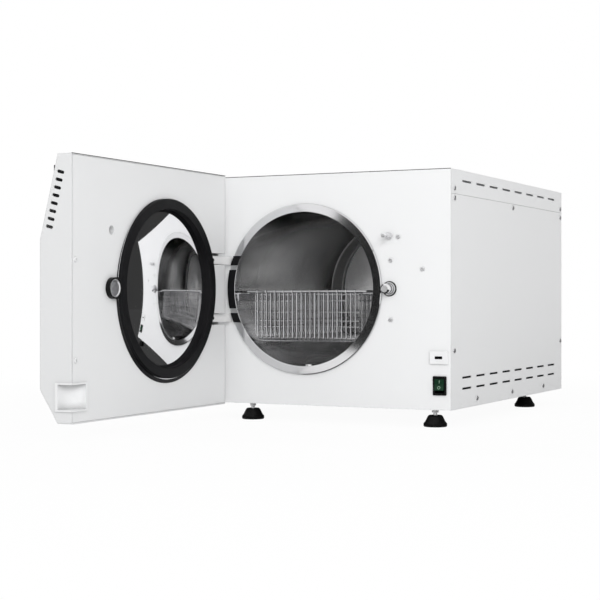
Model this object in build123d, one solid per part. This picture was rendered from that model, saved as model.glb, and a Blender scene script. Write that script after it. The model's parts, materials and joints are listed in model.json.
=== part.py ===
from build123d import *
import os
from math import asin, atan2, cos, degrees, pi, radians, sin, sqrt, tan

# Housing. All lengths are in millimetres. The layout counts from the housing's front right bottom
# corner: x is negative to the left, y runs to the back and z up. The last lines shift it to the origin.
body_width = 438.0
body_depth = 600.0
body_height = 375.0
sheet = 1.2
front_sheet = 2.0
seam = 0.3
flange = 24.0
inner_sheet = 1.5
cover_flange = 38.5
front_return = 24.0

# Vent slots in the sides
slot_length = 41.5
slot_height = 3.2
slot_pitch = 65.6
slot_count = 8
slot_first = 52.0
top_slot_z = 358.4
low_slot_zs = (48.2, 30.8)

# Chamber
chamber_from_hinge_side = 184.0
chamber_height = 188.5
bore_radius = 125.0
vessel_wall = 3.0
vessel_length = 422.0
dish_depth = 40.0
ring_radius = 138.5
ring_proud = 5.0
ring_lip = 6.0
ring_step = 2.0
ring_back = 8.0
ring_fit = 0.15
band_thick = 1.6
band_width = 46.0
jacket_radius = 138.0
saddle_thick = 12.0
saddle_width = 220.0
saddle_ys = (106.0, 322.0)
saddle_gap = 4.0
strainer_radius = 8.0
strainer_rise = 2.4
strainer_y = 22.0

# Shelf rails and basket
rail_web = 2.2
rail_height = 14.0
rail_ledge = 20.0
rail_thick = 1.6
rail_start = 6.0
rail_length = 354.0
rim_rod = 2.0
rim_below_middle = 4.0
rim_side_gap = 13.8
rail_fit = 0.05
basket_front_y = 8.5
basket_length = 345.0
basket_top_width = 195.0
basket_bottom_width = 176.0
basket_drop = 80.0
wire = 1.0
wire_pitch = 15.0
level_wires = 3

# Door hinge and gap
door_gap = 12.0
door_side_gap = 5.0
pivot_to_plate = 35.0
pivot_to_edge = 16.0
door_thin = 25.0
door_thick = 55.0
door_low_break = 46.0
door_high_break = 256.0
door_wall = 2.0
door_lip = 8.0
door_edge_round = 3.0
door_break_round = 14.0
plate_sheet = 1.5
plate_fit = 0.3
door_vents = 8
door_vent_length = 12.5
door_vent_height = 4.4
door_vent_pitch = 10.8
door_vent_first = 24.5
door_vent_inset = 6.5

# Hinge arms
arm_spacing = 94.5
arm_height = 13.5
arm_thick = 3.0
arm_offset = 27.5
arm_reach = 17.0
arm_hole = 2.75
arm_eye = 8.0
pin_radius = 4.0
pin_fit = 0.05
pin_head = 2.0
lug_thick = 4.0
lug_fit = 0.3
slot_outer_margin = 4.0
slot_inner_margin = 1.0
slot_end = 30.5
open_more = 22.0
bracket_depth = 4.0
bracket_back = 16.0
anchor_thick = 6.0
anchor_reach = 32.0
hinge_pad_band = 12.7
hinge_pad_middle = 32.0
hinge_pad_gap = 7.5

# Lid
lid_radius = 121.0
lid_thick = 6.0
lid_recess = 8.7
lid_dome = 16.0
gasket_radius = 137.5
gasket_thick = 4.2
gasket_neck = 5.0
seal_gap = 0.3
rim_thick = 0.8
rim_over = 1.2
trim_radius = 140.0
trim_width = 9.0
trim_drop = 4.5
lid_hole = 127.0
lid_boss = 22.0
lid_boss_length = 14.0
lid_stud = 8.0
lid_rib_radius = 66.0
lid_rib_width = 6.0
lid_rib_height = 5.0
yoke_thick = 8.0
yoke_height = 58.0
yoke_from_pivot = 4.0
yoke_window = 30.0
post_radius = 6.0

# Lock and door sensor
lock_from_axis = 151.5
lock_pin_radius = 8.0
lock_pin_reach = 21.0
lock_head = 7.0
lock_groove = 4.0
lock_groove_radius = 5.5
lock_guide_radius = 12.0
lock_guide_proud = 2.0
lock_travel = 8.0
lock_guide_length = 16.0
lock_motor_length = 46.0
bracket_width = 30.0
cup_radius = 13.0
cup_bore = 11.0
cup_depth = 19.0
cup_floor = 2.0
boss_wall = 2.5
sensor_above = 83.5
sensor_radius = 3.5
sensor_reach = 28.0
sensor_bush = 5.5
sensor_hole = 6.5
sensor_pocket_depth = 22.0
sensor_pocket_wall = 1.5

# Front fittings
usb_size = (30.0, 3.0, 20.4)
usb_place = (19.2, 81.5)
usb_slot = (12.5, 4.5)
switch_size = (22.0, 29.6)
switch_place = (17.9, 38.0)
switch_bezel = 2.0
switch_wall = 2.2
switch_depth = 26.0
rocker_proud = 3.2
rocker_angle = 12.0
rocker_foot = 6.0
rocker_swing = 2.4
rocker_dish = 30.0
rocker_sink = 1.6
rocker_pivot_y = 4.0
trunnion_radius = 1.5
trunnion_length = 0.8
front_screw_places = ((87.5, 270.5), (100.6, 233.7), (46.9, 219.4), (100.3, 139.8))
screw_head = 3.8
screw_head_height = 1.8
screw_shank = 1.6
case_screw_places = (
    (16.5, 345.1), (16.5, 329.8), (304.8, 330.0), (590.8, 343.6), (590.8, 327.2),
    (15.2, 92.5), (590.8, 92.1), (120.2, 12.1), (299.8, 12.1), (481.0, 12.1))

# Finger pull and door screws
pull_side = 27.0
pull_face = 36.0
pull_height = 40.0
pull_bottom = 17.0
pull_rim = 2.0
pull_wall = 2.5
door_screw_places = ((9.0, 228.0), (9.0, 88.0))

# Control panel on the door's outer face
window_size = (96.0, 44.0)
window_thick = 2.6
window_place = -60.0
key_radius = 7.0
key_fit = 0.1
key_flange = 8.5
key_cap = 3.9
key_proud = 1.6
key_flange_thick = 1.4
key_travel = 1.0
key_spare = 0.2
key_pitch = 26.0
key_first = 35.0
key_count = 3
board_size = (236.0, 56.0)
board_peg_inset = 12.0
board_thick = 1.6
board_depth = 8.7

# Feet
foot_radius = 18.5
foot_top_radius = 10.0
foot_height = 18.0
foot_rim = 5.0
foot_clear = 27.0
stud_radius = 3.0
stud_into_foot = 8.0
nut_radius = 5.5
nut_height = 5.0
foot_places = ((32.0, 17.0), (356.0, 17.0), (32.0, 471.0), (356.0, 471.0))

# Works behind the chamber and in the right bay
fan_x = -330.0
fan_z = 190.0
fan_open = 54.0
fan_size = 120.0
fan_depth = 25.0
fan_hub = 20.0
fan_shaft = 3.0
fan_blades = 7
fan_seat_gap = 0.5
grille_pitch = 15.0
inlet_x = -60.0
inlet_z = 60.0
inlet_size = (28.0, 48.0)
inlet_depth = 24.0
drain_xs = (-130.0, -170.0)
drain_z = 50.0
drain_radius = 7.0
drain_proud = 12.0
bay_plate_x = -46.0
bay_plate_span = (90.0, 430.0)
bay_plate_top = 330.0
board_span = (120.0, 300.0)
board_zs = (120.0, 310.0)
supply_span = (310.0, 420.0)
shelf_z = 262.0
shelf_span = (484.0, 594.0)
tank_height = 100.0
tank_wall = 3.0
pump_x = -200.0
pump_y = 545.0
pump_height = 52.0
pump_radius = 28.0
pump_length = 90.0
condenser_depth = 36.0

# Derived places
left_x = -body_width
door_width = body_width - 2 * door_side_gap
chamber_x = left_x + chamber_from_hinge_side
pivot_x = left_x + door_side_gap + pivot_to_edge
pivot_y = -(door_gap + pivot_to_plate)
plate_x = pivot_x + pivot_to_plate
hinge_y = pivot_y + pivot_to_edge
free_y = hinge_y - door_width
lid_y = pivot_x + pivot_y - chamber_x
lock_x = chamber_x + lock_from_axis
latch_y = pivot_x + pivot_y - lock_x
sensor_z = chamber_height + sensor_above
ring_cut_band = ring_radius - hinge_pad_band
gasket_front = plate_x + door_gap - ring_proud - seal_gap
lid_front = gasket_front - lid_recess
lid_back = lid_front - lid_thick
yoke_front = pivot_x - yoke_from_pivot
yoke_back = yoke_front - yoke_thick
skin_x = plate_x - door_thick + door_wall
rail_top = chamber_height - rim_below_middle
shelf_edge = bore_radius - rail_web - rail_ledge
back_y = body_depth - sheet
vessel_end = ring_back + vessel_length
vessel_outer = bore_radius + vessel_wall
foot_z = -foot_clear
key_under = key_cap - key_proud + key_flange_thick
slope = atan2(door_thick - door_thin, body_height - door_high_break)


def middle(span):
    return (span[0] + span[1]) / 2


def block(x, y, z):
    """A box between three pairs of limits."""
    size = [abs(span[1] - span[0]) for span in (x, y, z)]
    return Pos(middle(x), middle(y), middle(z)) * Box(*size)


def rod_x(radius, y, z, x):
    return Pos(middle(x), y, z) * Rot(0, 90, 0) * Cylinder(radius, abs(x[1] - x[0]))


def rod_y(radius, x, z, y):
    return Pos(x, middle(y), z) * Rot(90, 0, 0) * Cylinder(radius, abs(y[1] - y[0]))


def rod_z(radius, x, y, z):
    return Pos(x, y, middle(z)) * Cylinder(radius, abs(z[1] - z[0]))


def turned_y(outline, x, z):
    """A turned part about a line along y; the outline's points are radius and y."""
    face = make_face(Polyline(*outline, close=True))
    return Pos(x, 0, z) * revolve(face, Axis.Y)


def turned_z(outline, x, y):
    """A turned part about an upright line; the outline's points are radius and z."""
    face = make_face(Plane.XZ * Polyline(*outline, close=True))
    return Pos(x, y, 0) * revolve(face, Axis.Z)


def plate_along_y(outline, y):
    """An outline of x and z points, drawn out between two y limits."""
    face = make_face(Plane.XZ * Polyline(*outline, close=True))
    return Pos(0, y[1], 0) * extrude(face, abs(y[1] - y[0]), dir=(0, -1, 0))


def both_sides(part):
    """A part of the right side with its mirror image on the left."""
    return [part, Pos(left_x, 0, 0) * mirror(part, Plane.YZ)]


def pan_screw(radius, shank):
    """A screw whose head stands in +z and whose shank goes down from zero."""
    head = Cylinder(radius, screw_head_height, align=(Align.CENTER, Align.CENTER, Align.MIN))
    crown = fillet(head.edges().group_by(Axis.Z)[-1], screw_head_height * 0.6)
    stem = Cylinder(screw_shank, shank, align=(Align.CENTER, Align.CENTER, Align.MAX))
    return crown + stem


# Case sheets
def side_slots(zs, count=slot_count):
    cuts = []
    for z in zs:
        for step in range(count):
            start = slot_first + step * slot_pitch
            cuts.append(block((-2 * sheet, sheet), (start, start + slot_length), (z - slot_height / 2, z + slot_height / 2)))
    return cuts


def case_screw_holes():
    reach = sheet + inner_sheet
    return [rod_x(screw_shank, y, z, (-reach, sheet)) for y, z in case_screw_places]


def make_case_screws():
    reach = sheet + inner_sheet
    turn = Rot(0, 90, 0)
    right = [Pos(0, y, z) * turn * pan_screw(screw_head, reach) for y, z in case_screw_places]
    return [piece for screw in right for piece in both_sides(screw)]


def cut_all(part, cuts):
    for cut in cuts:
        part = part - cut
    return part


def make_side_panel():
    top = body_height - cover_flange - seam
    panel = block((-sheet, 0), (front_sheet + seam, back_y), (0, top))
    return cut_all(panel, side_slots(low_slot_zs) + case_screw_holes())


def make_top_cover():
    roof = block((left_x, 0), (front_sheet + seam, back_y), (body_height - sheet, body_height))
    side = block((-sheet, 0), (front_sheet + seam, back_y), (body_height - cover_flange, body_height))
    side = cut_all(side, side_slots((top_slot_z,)) + case_screw_holes())
    return roof + both_sides(side)


def make_base_pan():
    inside = (left_x + sheet, -sheet)
    floor = block(inside, (front_sheet, back_y), (0, inner_sheet))
    side = block((-sheet - inner_sheet, -sheet), (front_return + front_sheet + seam, back_y), (0, flange))
    rear = block(inside, (back_y - inner_sheet, back_y), (0, flange))
    pan = floor + both_sides(side) + rear
    holes = [rod_z(stud_radius, -x, y, (-1, flange)) for x, y in foot_places]
    vents = []
    for step in range(6):
        x = chamber_x - 60 + step * 24
        vents.append(block((x, x + 5), (150, 290), (-1, flange)))
    holes += [hole for cut in case_screw_holes() for hole in both_sides(cut)]
    return cut_all(pan, holes + vents)


def make_rear_panel():
    panel = block((left_x, 0), (back_y, body_depth), (0, body_height))
    cuts = [rod_y(fan_open, fan_x, fan_z, (back_y - 1, body_depth + 1))]
    bars = []
    for step in range(-3, 4):
        z = fan_z + step * grille_pitch
        bars.append(block((fan_x - fan_open, fan_x + fan_open), (back_y, body_depth), (z - 2, z + 2)))
    upright = block((fan_x - 2, fan_x + 2), (back_y, body_depth), (fan_z - fan_open, fan_z + fan_open))
    inlet = block(
        (inlet_x - inlet_size[0] / 2, inlet_x + inlet_size[0] / 2), (back_y - 1, body_depth + 1),
        (inlet_z - inlet_size[1] / 2, inlet_z + inlet_size[1] / 2))
    drains = [rod_y(drain_radius, x, drain_z, (back_y - 1, body_depth + 1)) for x in drain_xs]
    panel = cut_all(panel, cuts + [inlet] + drains)
    for bar in bars + [upright]:
        panel = panel + bar
    return panel


def make_rear_posts():
    side = block((-sheet - inner_sheet, -sheet), (back_y - flange, back_y), (flange, body_height - sheet))
    rear = block((-sheet - flange, -sheet), (back_y - inner_sheet, back_y), (flange, body_height - sheet))
    post = cut_all(side + rear, case_screw_holes())
    return both_sides(post)


def make_top_rails():
    rail = block(
        (-sheet - inner_sheet, -sheet), (front_sheet + front_return + seam, back_y - flange - seam),
        (body_height - cover_flange - flange / 2, body_height - sheet))
    return both_sides(cut_all(rail, case_screw_holes() + side_slots((top_slot_z,))))


# Front panel and what it holds
def make_front_panel():
    panel = block((left_x, 0), (0, front_sheet), (0, body_height))
    side = block((-sheet - inner_sheet, -sheet), (front_sheet, front_sheet + front_return), (inner_sheet, body_height - sheet))
    side = cut_all(side, case_screw_holes())
    panel = panel + both_sides(side)
    reach = (-1, front_sheet + 1)
    cuts = [rod_y(ring_radius + ring_fit, chamber_x, chamber_height, reach)]
    cuts.append(rod_y(lock_guide_radius - 2, lock_x, chamber_height, reach))
    cuts.append(rod_y(sensor_bush - 1, lock_x, sensor_z, reach))
    width, height = switch_size
    cuts.append(block(
        (-switch_place[0] - width / 2 + switch_bezel, -switch_place[0] + width / 2 - switch_bezel), reach,
        (switch_place[1] - height / 2 + switch_bezel, switch_place[1] + height / 2 - switch_bezel)))
    cuts.append(block(
        (-usb_place[0] - usb_slot[0], -usb_place[0] + usb_slot[0]), reach,
        (usb_place[1] - usb_slot[1], usb_place[1] + usb_slot[1])))
    cuts += [rod_y(screw_shank, -x, z, reach) for x, z in front_screw_places]
    for low, high in arm_levels():
        strap = (pivot_x + arm_offset - arm_thick / 2 - ring_fit, pivot_x + arm_offset + arm_thick / 2 + ring_fit)
        cuts.append(block(strap, reach, (low - ring_fit, high + ring_fit)))
    return cut_all(panel, cuts)


def make_front_screws():
    turn = Rot(90, 0, 0)
    return [Pos(-x, 0, z) * turn * pan_screw(screw_head, front_sheet) for x, z in front_screw_places]


def make_usb_plate():
    width, proud, height = usb_size
    x = (-usb_place[0] - width / 2, -usb_place[0] + width / 2)
    z = (usb_place[1] - height / 2, usb_place[1] + height / 2)
    plate = block(x, (-proud, 0), z)
    plate = fillet(plate.edges().group_by(Axis.Y)[0], 0.8)
    shell = block(
        (-usb_place[0] - usb_slot[0] + ring_fit, -usb_place[0] + usb_slot[0] - ring_fit), (0, 16),
        (usb_place[1] - usb_slot[1] + ring_fit, usb_place[1] + usb_slot[1] - ring_fit))
    slot = block(
        (-usb_place[0] - usb_slot[0] / 2, -usb_place[0] + usb_slot[0] / 2), (-proud - 1, 12),
        (usb_place[1] - usb_slot[1] / 2, usb_place[1] + usb_slot[1] / 2))
    tongue = block(
        (-usb_place[0] - usb_slot[0] / 2 + 1.5, -usb_place[0] + usb_slot[0] / 2 - 1.5), (0, 12),
        (usb_place[1] + 0.2, usb_place[1] + 1.6))
    return plate + shell - slot + tongue


def make_switch_frame():
    width, height = switch_size
    x = (-switch_place[0] - width / 2, -switch_place[0] + width / 2)
    z = (switch_place[1] - height / 2, switch_place[1] + height / 2)
    bezel = fillet(block(x, (-switch_bezel, 0), z).edges().filter_by(Axis.Y), 1.5)
    inner_x = (x[0] + switch_bezel + ring_fit, x[1] - switch_bezel - ring_fit)
    inner_z = (z[0] + switch_bezel + ring_fit, z[1] - switch_bezel - ring_fit)
    case = block(inner_x, (0, switch_depth), inner_z)
    well = block((x[0] + switch_wall + 1, x[1] - switch_wall - 1), (-switch_bezel - 1, switch_depth - 6),
                 (z[0] + switch_wall + 1, z[1] - switch_wall - 1))
    bearing = rod_x(
        trunnion_radius + pin_fit, rocker_pivot_y, switch_place[1],
        (x[0] + switch_wall + 1 - trunnion_length - pin_fit, x[1] - switch_wall - 1 + trunnion_length + pin_fit))
    well = well + bearing
    pins = [block((-switch_place[0] - 3, -switch_place[0] + 3), (switch_depth, switch_depth + 8), (level, level + 0.8))
            for level in (switch_place[1] - 8, switch_place[1], switch_place[1] + 8)]
    return bezel + case - well + pins


def make_rocker():
    width, height = switch_size
    half = height / 2 - switch_wall - 1 - seam
    x = (-switch_place[0] - width / 2 + switch_wall + 1 + seam, -switch_place[0] + width / 2 - switch_wall - 1 - seam)
    low = switch_place[1] - half
    high = switch_place[1] + half
    body = block(x, (-switch_bezel - rocker_proud, rocker_foot), (low + rocker_swing, high - rocker_swing))
    dip = rod_x(rocker_dish, -switch_bezel - rocker_proud - rocker_dish + rocker_sink, switch_place[1], x)
    trunnions = rod_x(trunnion_radius, rocker_pivot_y, switch_place[1], (x[0] - trunnion_length - seam, x[1] + trunnion_length + seam))
    level = body - dip + trunnions
    centre = Pos(0, rocker_pivot_y, switch_place[1])
    return centre * Rot(-rocker_angle, 0, 0) * centre.inverse() * level


# Chamber
def make_chamber_ring():
    outline = (
        (bore_radius, -ring_proud), (bore_radius + ring_lip, -ring_proud), (bore_radius + ring_lip + ring_step, -ring_proud + ring_step),
        (ring_radius, -ring_proud + ring_step), (ring_radius, ring_back), (bore_radius, ring_back))
    ring = turned_y(outline, chamber_x, chamber_height)
    return cut_all(ring, [hinge_pad_zone()])


def hinge_pad_zone():
    """The space of the three dark pads over the ring's hinge side."""
    face = (-ring_proud - 1, -ring_proud / 2)
    band = rod_y(ring_radius + 1, chamber_x, chamber_height, face) - rod_y(ring_cut_band, chamber_x, chamber_height, face)
    arm_high = arm_spacing / 2 + arm_height / 2 + 1
    arm_low = arm_spacing / 2 - arm_height / 2 - 1
    left = (left_x, chamber_x - ring_cut_band * 0.5)
    zone = band & block(left, (-ring_proud - 1, 0), (chamber_height - hinge_pad_middle, chamber_height + hinge_pad_middle))
    for sign in (-1, 1):
        part = block(left, (-ring_proud - 1, 0), (chamber_height + sign * arm_low, chamber_height + sign * arm_high))
        zone = zone + (band & part)
    return zone


def make_hinge_pads():
    keep = rod_y(ring_radius, chamber_x, chamber_height, (-ring_proud, -ring_proud / 2))
    pads = hinge_pad_zone() & keep
    return list(pads.solids())


def make_vessel():
    crown = (bore_radius ** 2 + dish_depth ** 2) / (2 * dish_depth)
    half = asin(bore_radius / crown) / 2
    inner_mid = (crown * sin(half), vessel_end + dish_depth - crown + crown * cos(half))
    inner = ThreePointArc((bore_radius, vessel_end), inner_mid, (0, vessel_end + dish_depth))
    outer_crown = crown + vessel_wall
    rim_y = vessel_end + dish_depth - crown + sqrt(outer_crown ** 2 - vessel_outer ** 2)
    outer_mid = (outer_crown * sin(half), vessel_end + dish_depth - crown + outer_crown * cos(half))
    outer = ThreePointArc((vessel_outer, rim_y), outer_mid, (0, vessel_end + dish_depth + vessel_wall))
    lines = [
        inner, outer,
        Line((0, vessel_end + dish_depth), (0, vessel_end + dish_depth + vessel_wall)),
        Line((bore_radius, ring_back), (bore_radius, vessel_end)),
        Line((vessel_outer, ring_back), (vessel_outer, rim_y)),
        Line((bore_radius, ring_back), (vessel_outer, ring_back))]
    vessel = Pos(chamber_x, 0, chamber_height) * revolve(make_face(lines), Axis.Y)
    drain = rod_z(strainer_radius - 2, chamber_x, strainer_y, (0, chamber_height))
    return vessel - drain


def sleeve(inner, outer, y):
    return rod_y(outer, chamber_x, chamber_height, y) - rod_y(inner, chamber_x, chamber_height, y)


def jacket_spans():
    edges = [ring_back + saddle_thick / 2]
    for y in saddle_ys:
        edges += [y - saddle_thick / 2 - saddle_gap, y + saddle_thick / 2 + saddle_gap]
    edges.append(vessel_end)
    return list(zip(edges[0::2], edges[1::2]))


def make_heater_bands():
    bands = []
    for low, high in jacket_spans():
        centre = (low + high) / 2
        band = sleeve(vessel_outer, vessel_outer + band_thick, (centre - band_width / 2, centre + band_width / 2))
        split = block((chamber_x - 3, chamber_x + 3), (low, high), (chamber_height, body_height))
        bands.append(band - split)
    return bands


def make_jacket():
    pieces = []
    for low, high in jacket_spans():
        centre = (low + high) / 2
        piece = sleeve(vessel_outer, jacket_radius, (low, high))
        pieces.append(piece - sleeve(vessel_outer - 1, vessel_outer + band_thick, (centre - band_width / 2, centre + band_width / 2)))
    pieces[0] = pieces[0] - rod_z(strainer_radius + 1, chamber_x, strainer_y, (0, chamber_height))
    return pieces


def make_cradle():
    saddles = []
    for y in saddle_ys:
        span = (y - saddle_thick / 2, y + saddle_thick / 2)
        sides = (chamber_x - saddle_width / 2, chamber_x + saddle_width / 2)
        web = block(sides, span, (inner_sheet, chamber_height - vessel_outer * 0.35))
        web = web - rod_y(vessel_outer, chamber_x, chamber_height, span)
        window = block((chamber_x - 30, chamber_x + 30), span, (inner_sheet + 12, inner_sheet + 34))
        saddles.append(web - window)
    return saddles


def make_strainer():
    wall = chamber_height - bore_radius
    cap = rod_z(strainer_radius, chamber_x, strainer_y, (wall - 1, wall + strainer_rise))
    cap = cap & rod_y(bore_radius, chamber_x, chamber_height, (0, vessel_end))
    cap = fillet(cap.edges().group_by(Axis.Z)[-1], 1.0)
    neck = rod_z(strainer_radius - 2, chamber_x, strainer_y, (wall - vessel_wall - 14, wall + 1))
    part = cap + neck
    for turn in range(6):
        angle = turn * pi / 3
        x = chamber_x + 4 * cos(angle)
        y = strainer_y + 4 * sin(angle)
        part = part - rod_z(0.9, x, y, (wall, wall + strainer_rise + 1))
    return part


def make_shelf_rails():
    rails = []
    run = (rail_start, rail_start + rail_length)
    for sign in (-1, 1):
        web = block(
            (chamber_x + sign * (bore_radius - rail_web), chamber_x + sign * (bore_radius + 1)), run,
            (rail_top - rim_rod - rail_fit - rail_height, rail_top - rim_rod - rail_fit))
        web = web & rod_y(bore_radius - rail_fit, chamber_x, chamber_height, run)
        ledge = block(
            (chamber_x + sign * shelf_edge, chamber_x + sign * (bore_radius - rail_web)), run,
            (rail_top - rim_rod - rail_fit - rail_thick, rail_top - rim_rod - rail_fit))
        rails.append(web + ledge)
    return rails


# Basket. Its top rim hangs on the shelf rails.
def make_basket_rim():
    half = bore_radius - rail_web - rim_side_gap - rim_rod
    y0 = basket_front_y
    y1 = basket_front_y + basket_length
    rods = [rod_y(rim_rod, chamber_x + sign * half, rail_top, (y0, y1)) for sign in (-1, 1)]
    rods += [rod_x(rim_rod, y, rail_top, (chamber_x - half, chamber_x + half)) for y in (y0, y1)]
    rods += [Pos(chamber_x + sign * half, y, rail_top) * Sphere(rim_rod) for sign in (-1, 1) for y in (y0, y1)]
    rim = rods[0]
    for rod in rods[1:]:
        rim = rim + rod
    return rim


def basket_half(z):
    share = (rail_top - rim_rod - z) / basket_drop
    return (basket_top_width + (basket_bottom_width - basket_top_width) * share) / 2


def make_basket_ends():
    ends = []
    top = rail_top - rim_rod
    bottom = top - basket_drop
    for y in (basket_front_y, basket_front_y + basket_length):
        span = (y - wire, y + wire)
        bars = [block((chamber_x - basket_half(bottom), chamber_x + basket_half(bottom)), span, (bottom, bottom + 2 * wire))]
        bars.append(block((chamber_x - basket_half(top), chamber_x + basket_half(top)), span, (top - 2 * wire, top)))
        count = int(basket_top_width // wire_pitch)
        for step in range(count + 1):
            share = step / count * 2 - 1
            high_x = chamber_x + share * (basket_half(top) - wire)
            low_x = chamber_x + share * (basket_half(bottom) - wire)
            bars.append(plate_along_y(
                ((high_x - wire, top), (high_x + wire, top), (low_x + wire, bottom), (low_x - wire, bottom)), span))
        for level in range(1, level_wires + 1):
            z = bottom + level * basket_drop / (level_wires + 1)
            half = basket_half(z)
            bars.append(block((chamber_x - half, chamber_x + half), span, (z - wire, z + wire)))
        end = bars[0]
        for bar in bars[1:]:
            end = end + bar
        ends.append(end)
    return ends


def side_runs():
    return (basket_front_y + wire, basket_front_y + basket_length - wire)


def make_basket_sides():
    sides = []
    top = rail_top - rim_rod
    bottom = top - basket_drop
    y0, y1 = side_runs()
    for sign in (-1, 1):
        side = None
        for level in range(level_wires + 2):
            z = bottom + 2 * wire + wire + level * (basket_drop - 4 * wire) / (level_wires + 1)
            x = chamber_x + sign * (basket_half(z) - wire)
            bar = block((x - wire, x + wire), (y0, y1), (z - wire, z + wire))
            side = bar if side is None else side + bar
        count = int(basket_length // wire_pitch)
        for step in range(count + 1):
            y = y0 + wire + step * (y1 - y0 - 2 * wire) / count
            high_x = chamber_x + sign * (basket_half(top) - wire)
            low_x = chamber_x + sign * (basket_half(bottom) - wire)
            side = side + plate_along_y(
                ((high_x - wire, top), (high_x + wire, top), (low_x + wire, bottom + 2 * wire), (low_x - wire, bottom + 2 * wire)),
                (y - wire, y + wire))
        sides.append(side)
    return sides


def make_basket_floor():
    top = rail_top - rim_rod
    bottom = top - basket_drop
    half = basket_half(bottom)
    y0, y1 = side_runs()
    net = block((chamber_x - half, chamber_x + half), (y0, y1), (bottom, bottom + 2 * wire))
    count = int(basket_length // wire_pitch)
    pitch = (y1 - y0 - 2 * wire) / count
    cuts = []
    for step in range(count):
        start = y0 + 2 * wire + step * pitch
        for column in range(3):
            left = chamber_x - half + 2 * wire + column * (2 * half - 2 * wire) / 3
            right = chamber_x - half + (column + 1) * (2 * half - 2 * wire) / 3
            cuts.append(block((left, right), (start, start + pitch - 2 * wire), (bottom - 1, bottom + 3 * wire)))
    return cut_all(net, cuts)


# Hinge
def arm_levels():
    """The lowest and highest z of each of the two hinge arms."""
    levels = []
    for sign in (-1, 1):
        centre = chamber_height + sign * arm_spacing / 2
        levels.append((centre - arm_height / 2, centre + arm_height / 2))
    return levels


def make_hinge_arms():
    strap_x = (pivot_x + arm_offset - arm_thick / 2, pivot_x + arm_offset + arm_thick / 2)
    low_end = arm_levels()[0][0]
    high_end = arm_levels()[1][1]
    keep_off = chamber_x - ring_radius - 1
    arms = block((keep_off - anchor_reach, keep_off), (front_sheet, front_sheet + anchor_thick), (low_end, high_end))
    for low, high in arm_levels():
        strap = block(strap_x, (pivot_y - arm_reach, front_sheet + anchor_thick), (low, high))
        strap = strap - rod_x(arm_hole, pivot_y - arm_reach + arm_hole + 2, (low + high) / 2, strap_x)
        root = block((keep_off - 1, strap_x[1]), (front_sheet, front_sheet + anchor_thick), (low, high))
        lug = block((pivot_x, strap_x[0]), (pivot_y - arm_eye, pivot_y + arm_eye), (low, high))
        eye = rod_z(arm_eye, pivot_x, pivot_y, (low, high))
        arms = arms + strap + root + lug + eye
        arms = arms - rod_z(pin_radius + pin_fit, pivot_x, pivot_y, (low - 1, high + 1))
    return arms


def make_hinge_bracket():
    low_end = arm_levels()[0][0] - lug_fit - lug_thick
    high_end = arm_levels()[1][1] + lug_fit + lug_thick
    side = (pivot_y - arm_eye, pivot_y + arm_eye)
    back = (pivot_x - bracket_back, pivot_x - bracket_back + bracket_depth)
    bracket = block(back, side, (low_end, high_end))
    for low, high in arm_levels():
        for z in ((low - lug_fit - lug_thick, low - lug_fit), (high + lug_fit, high + lug_fit + lug_thick)):
            lug = block((back[0], pivot_x), side, z) + rod_z(arm_eye, pivot_x, pivot_y, z)
            bracket = bracket + lug
        bracket = bracket - rod_z(pin_radius, pivot_x, pivot_y, (low - 3 * lug_thick, high + 3 * lug_thick))
    return bracket


def make_hinge_pins():
    pins = []
    for low, high in arm_levels():
        foot = low - lug_fit - lug_thick
        head = high + lug_fit + lug_thick
        pins.append(rod_z(pin_radius, pivot_x, pivot_y, (foot, head)) + rod_z(pin_radius + 1.5, pivot_x, pivot_y, (head, head + pin_head)))
    return pins


# Door shell
def slanted_skin(fold, edge, inset):
    """The thin end and the fold of one of the door's two slanted facets, drawn in by an inset."""
    run = abs(edge - fold)
    lean = atan2(door_thick - door_thin, run)
    inwards = -1 if edge > fold else 1
    end = (plate_x - door_thick + (run - inset) * tan(lean) + inset / cos(lean), edge + inwards * inset)
    bend = (plate_x - door_thick + inset, fold + inwards * inset * tan(lean / 2))
    return end, bend


def door_outline(inset):
    """The door's side profile as x and z points, drawn in by an inset from the outer skin."""
    low_end, low_bend = slanted_skin(door_low_break, 0, inset)
    high_end, high_bend = slanted_skin(door_high_break, body_height, inset)
    return ((plate_x, inset), low_end, low_bend, high_bend, high_end, (plate_x, body_height - inset))


def door_profile(inset, y, rounded):
    solid = plate_along_y(door_outline(inset), y)
    breaks = solid.edges().filter_by(Axis.Y).group_by(Axis.X)[0]
    return fillet(breaks, rounded)


def arm_notches():
    cuts = []
    low_arm, high_arm = arm_levels()
    spans = (
        (low_arm[0] - slot_outer_margin, low_arm[1] + slot_inner_margin),
        (high_arm[0] - slot_inner_margin, high_arm[1] + slot_outer_margin))
    for span in spans:
        cuts.append(block((pivot_x + open_more, gasket_front), (pivot_y - slot_end, hinge_y + 1), span))
    return cuts


def panel_plane():
    """The plane of the door's slanted outer facet, its x axis towards the free edge and its z axis outwards."""
    centre_x = plate_x - (door_thick + door_thin) / 2
    centre_z = (body_height + door_high_break) / 2
    return Plane(
        origin=(centre_x, (hinge_y + free_y) / 2, centre_z), x_dir=(0, -1, 0), z_dir=(-cos(slope), 0, sin(slope)))


def key_places():
    return [key_first + step * key_pitch for step in range(key_count)]


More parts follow.
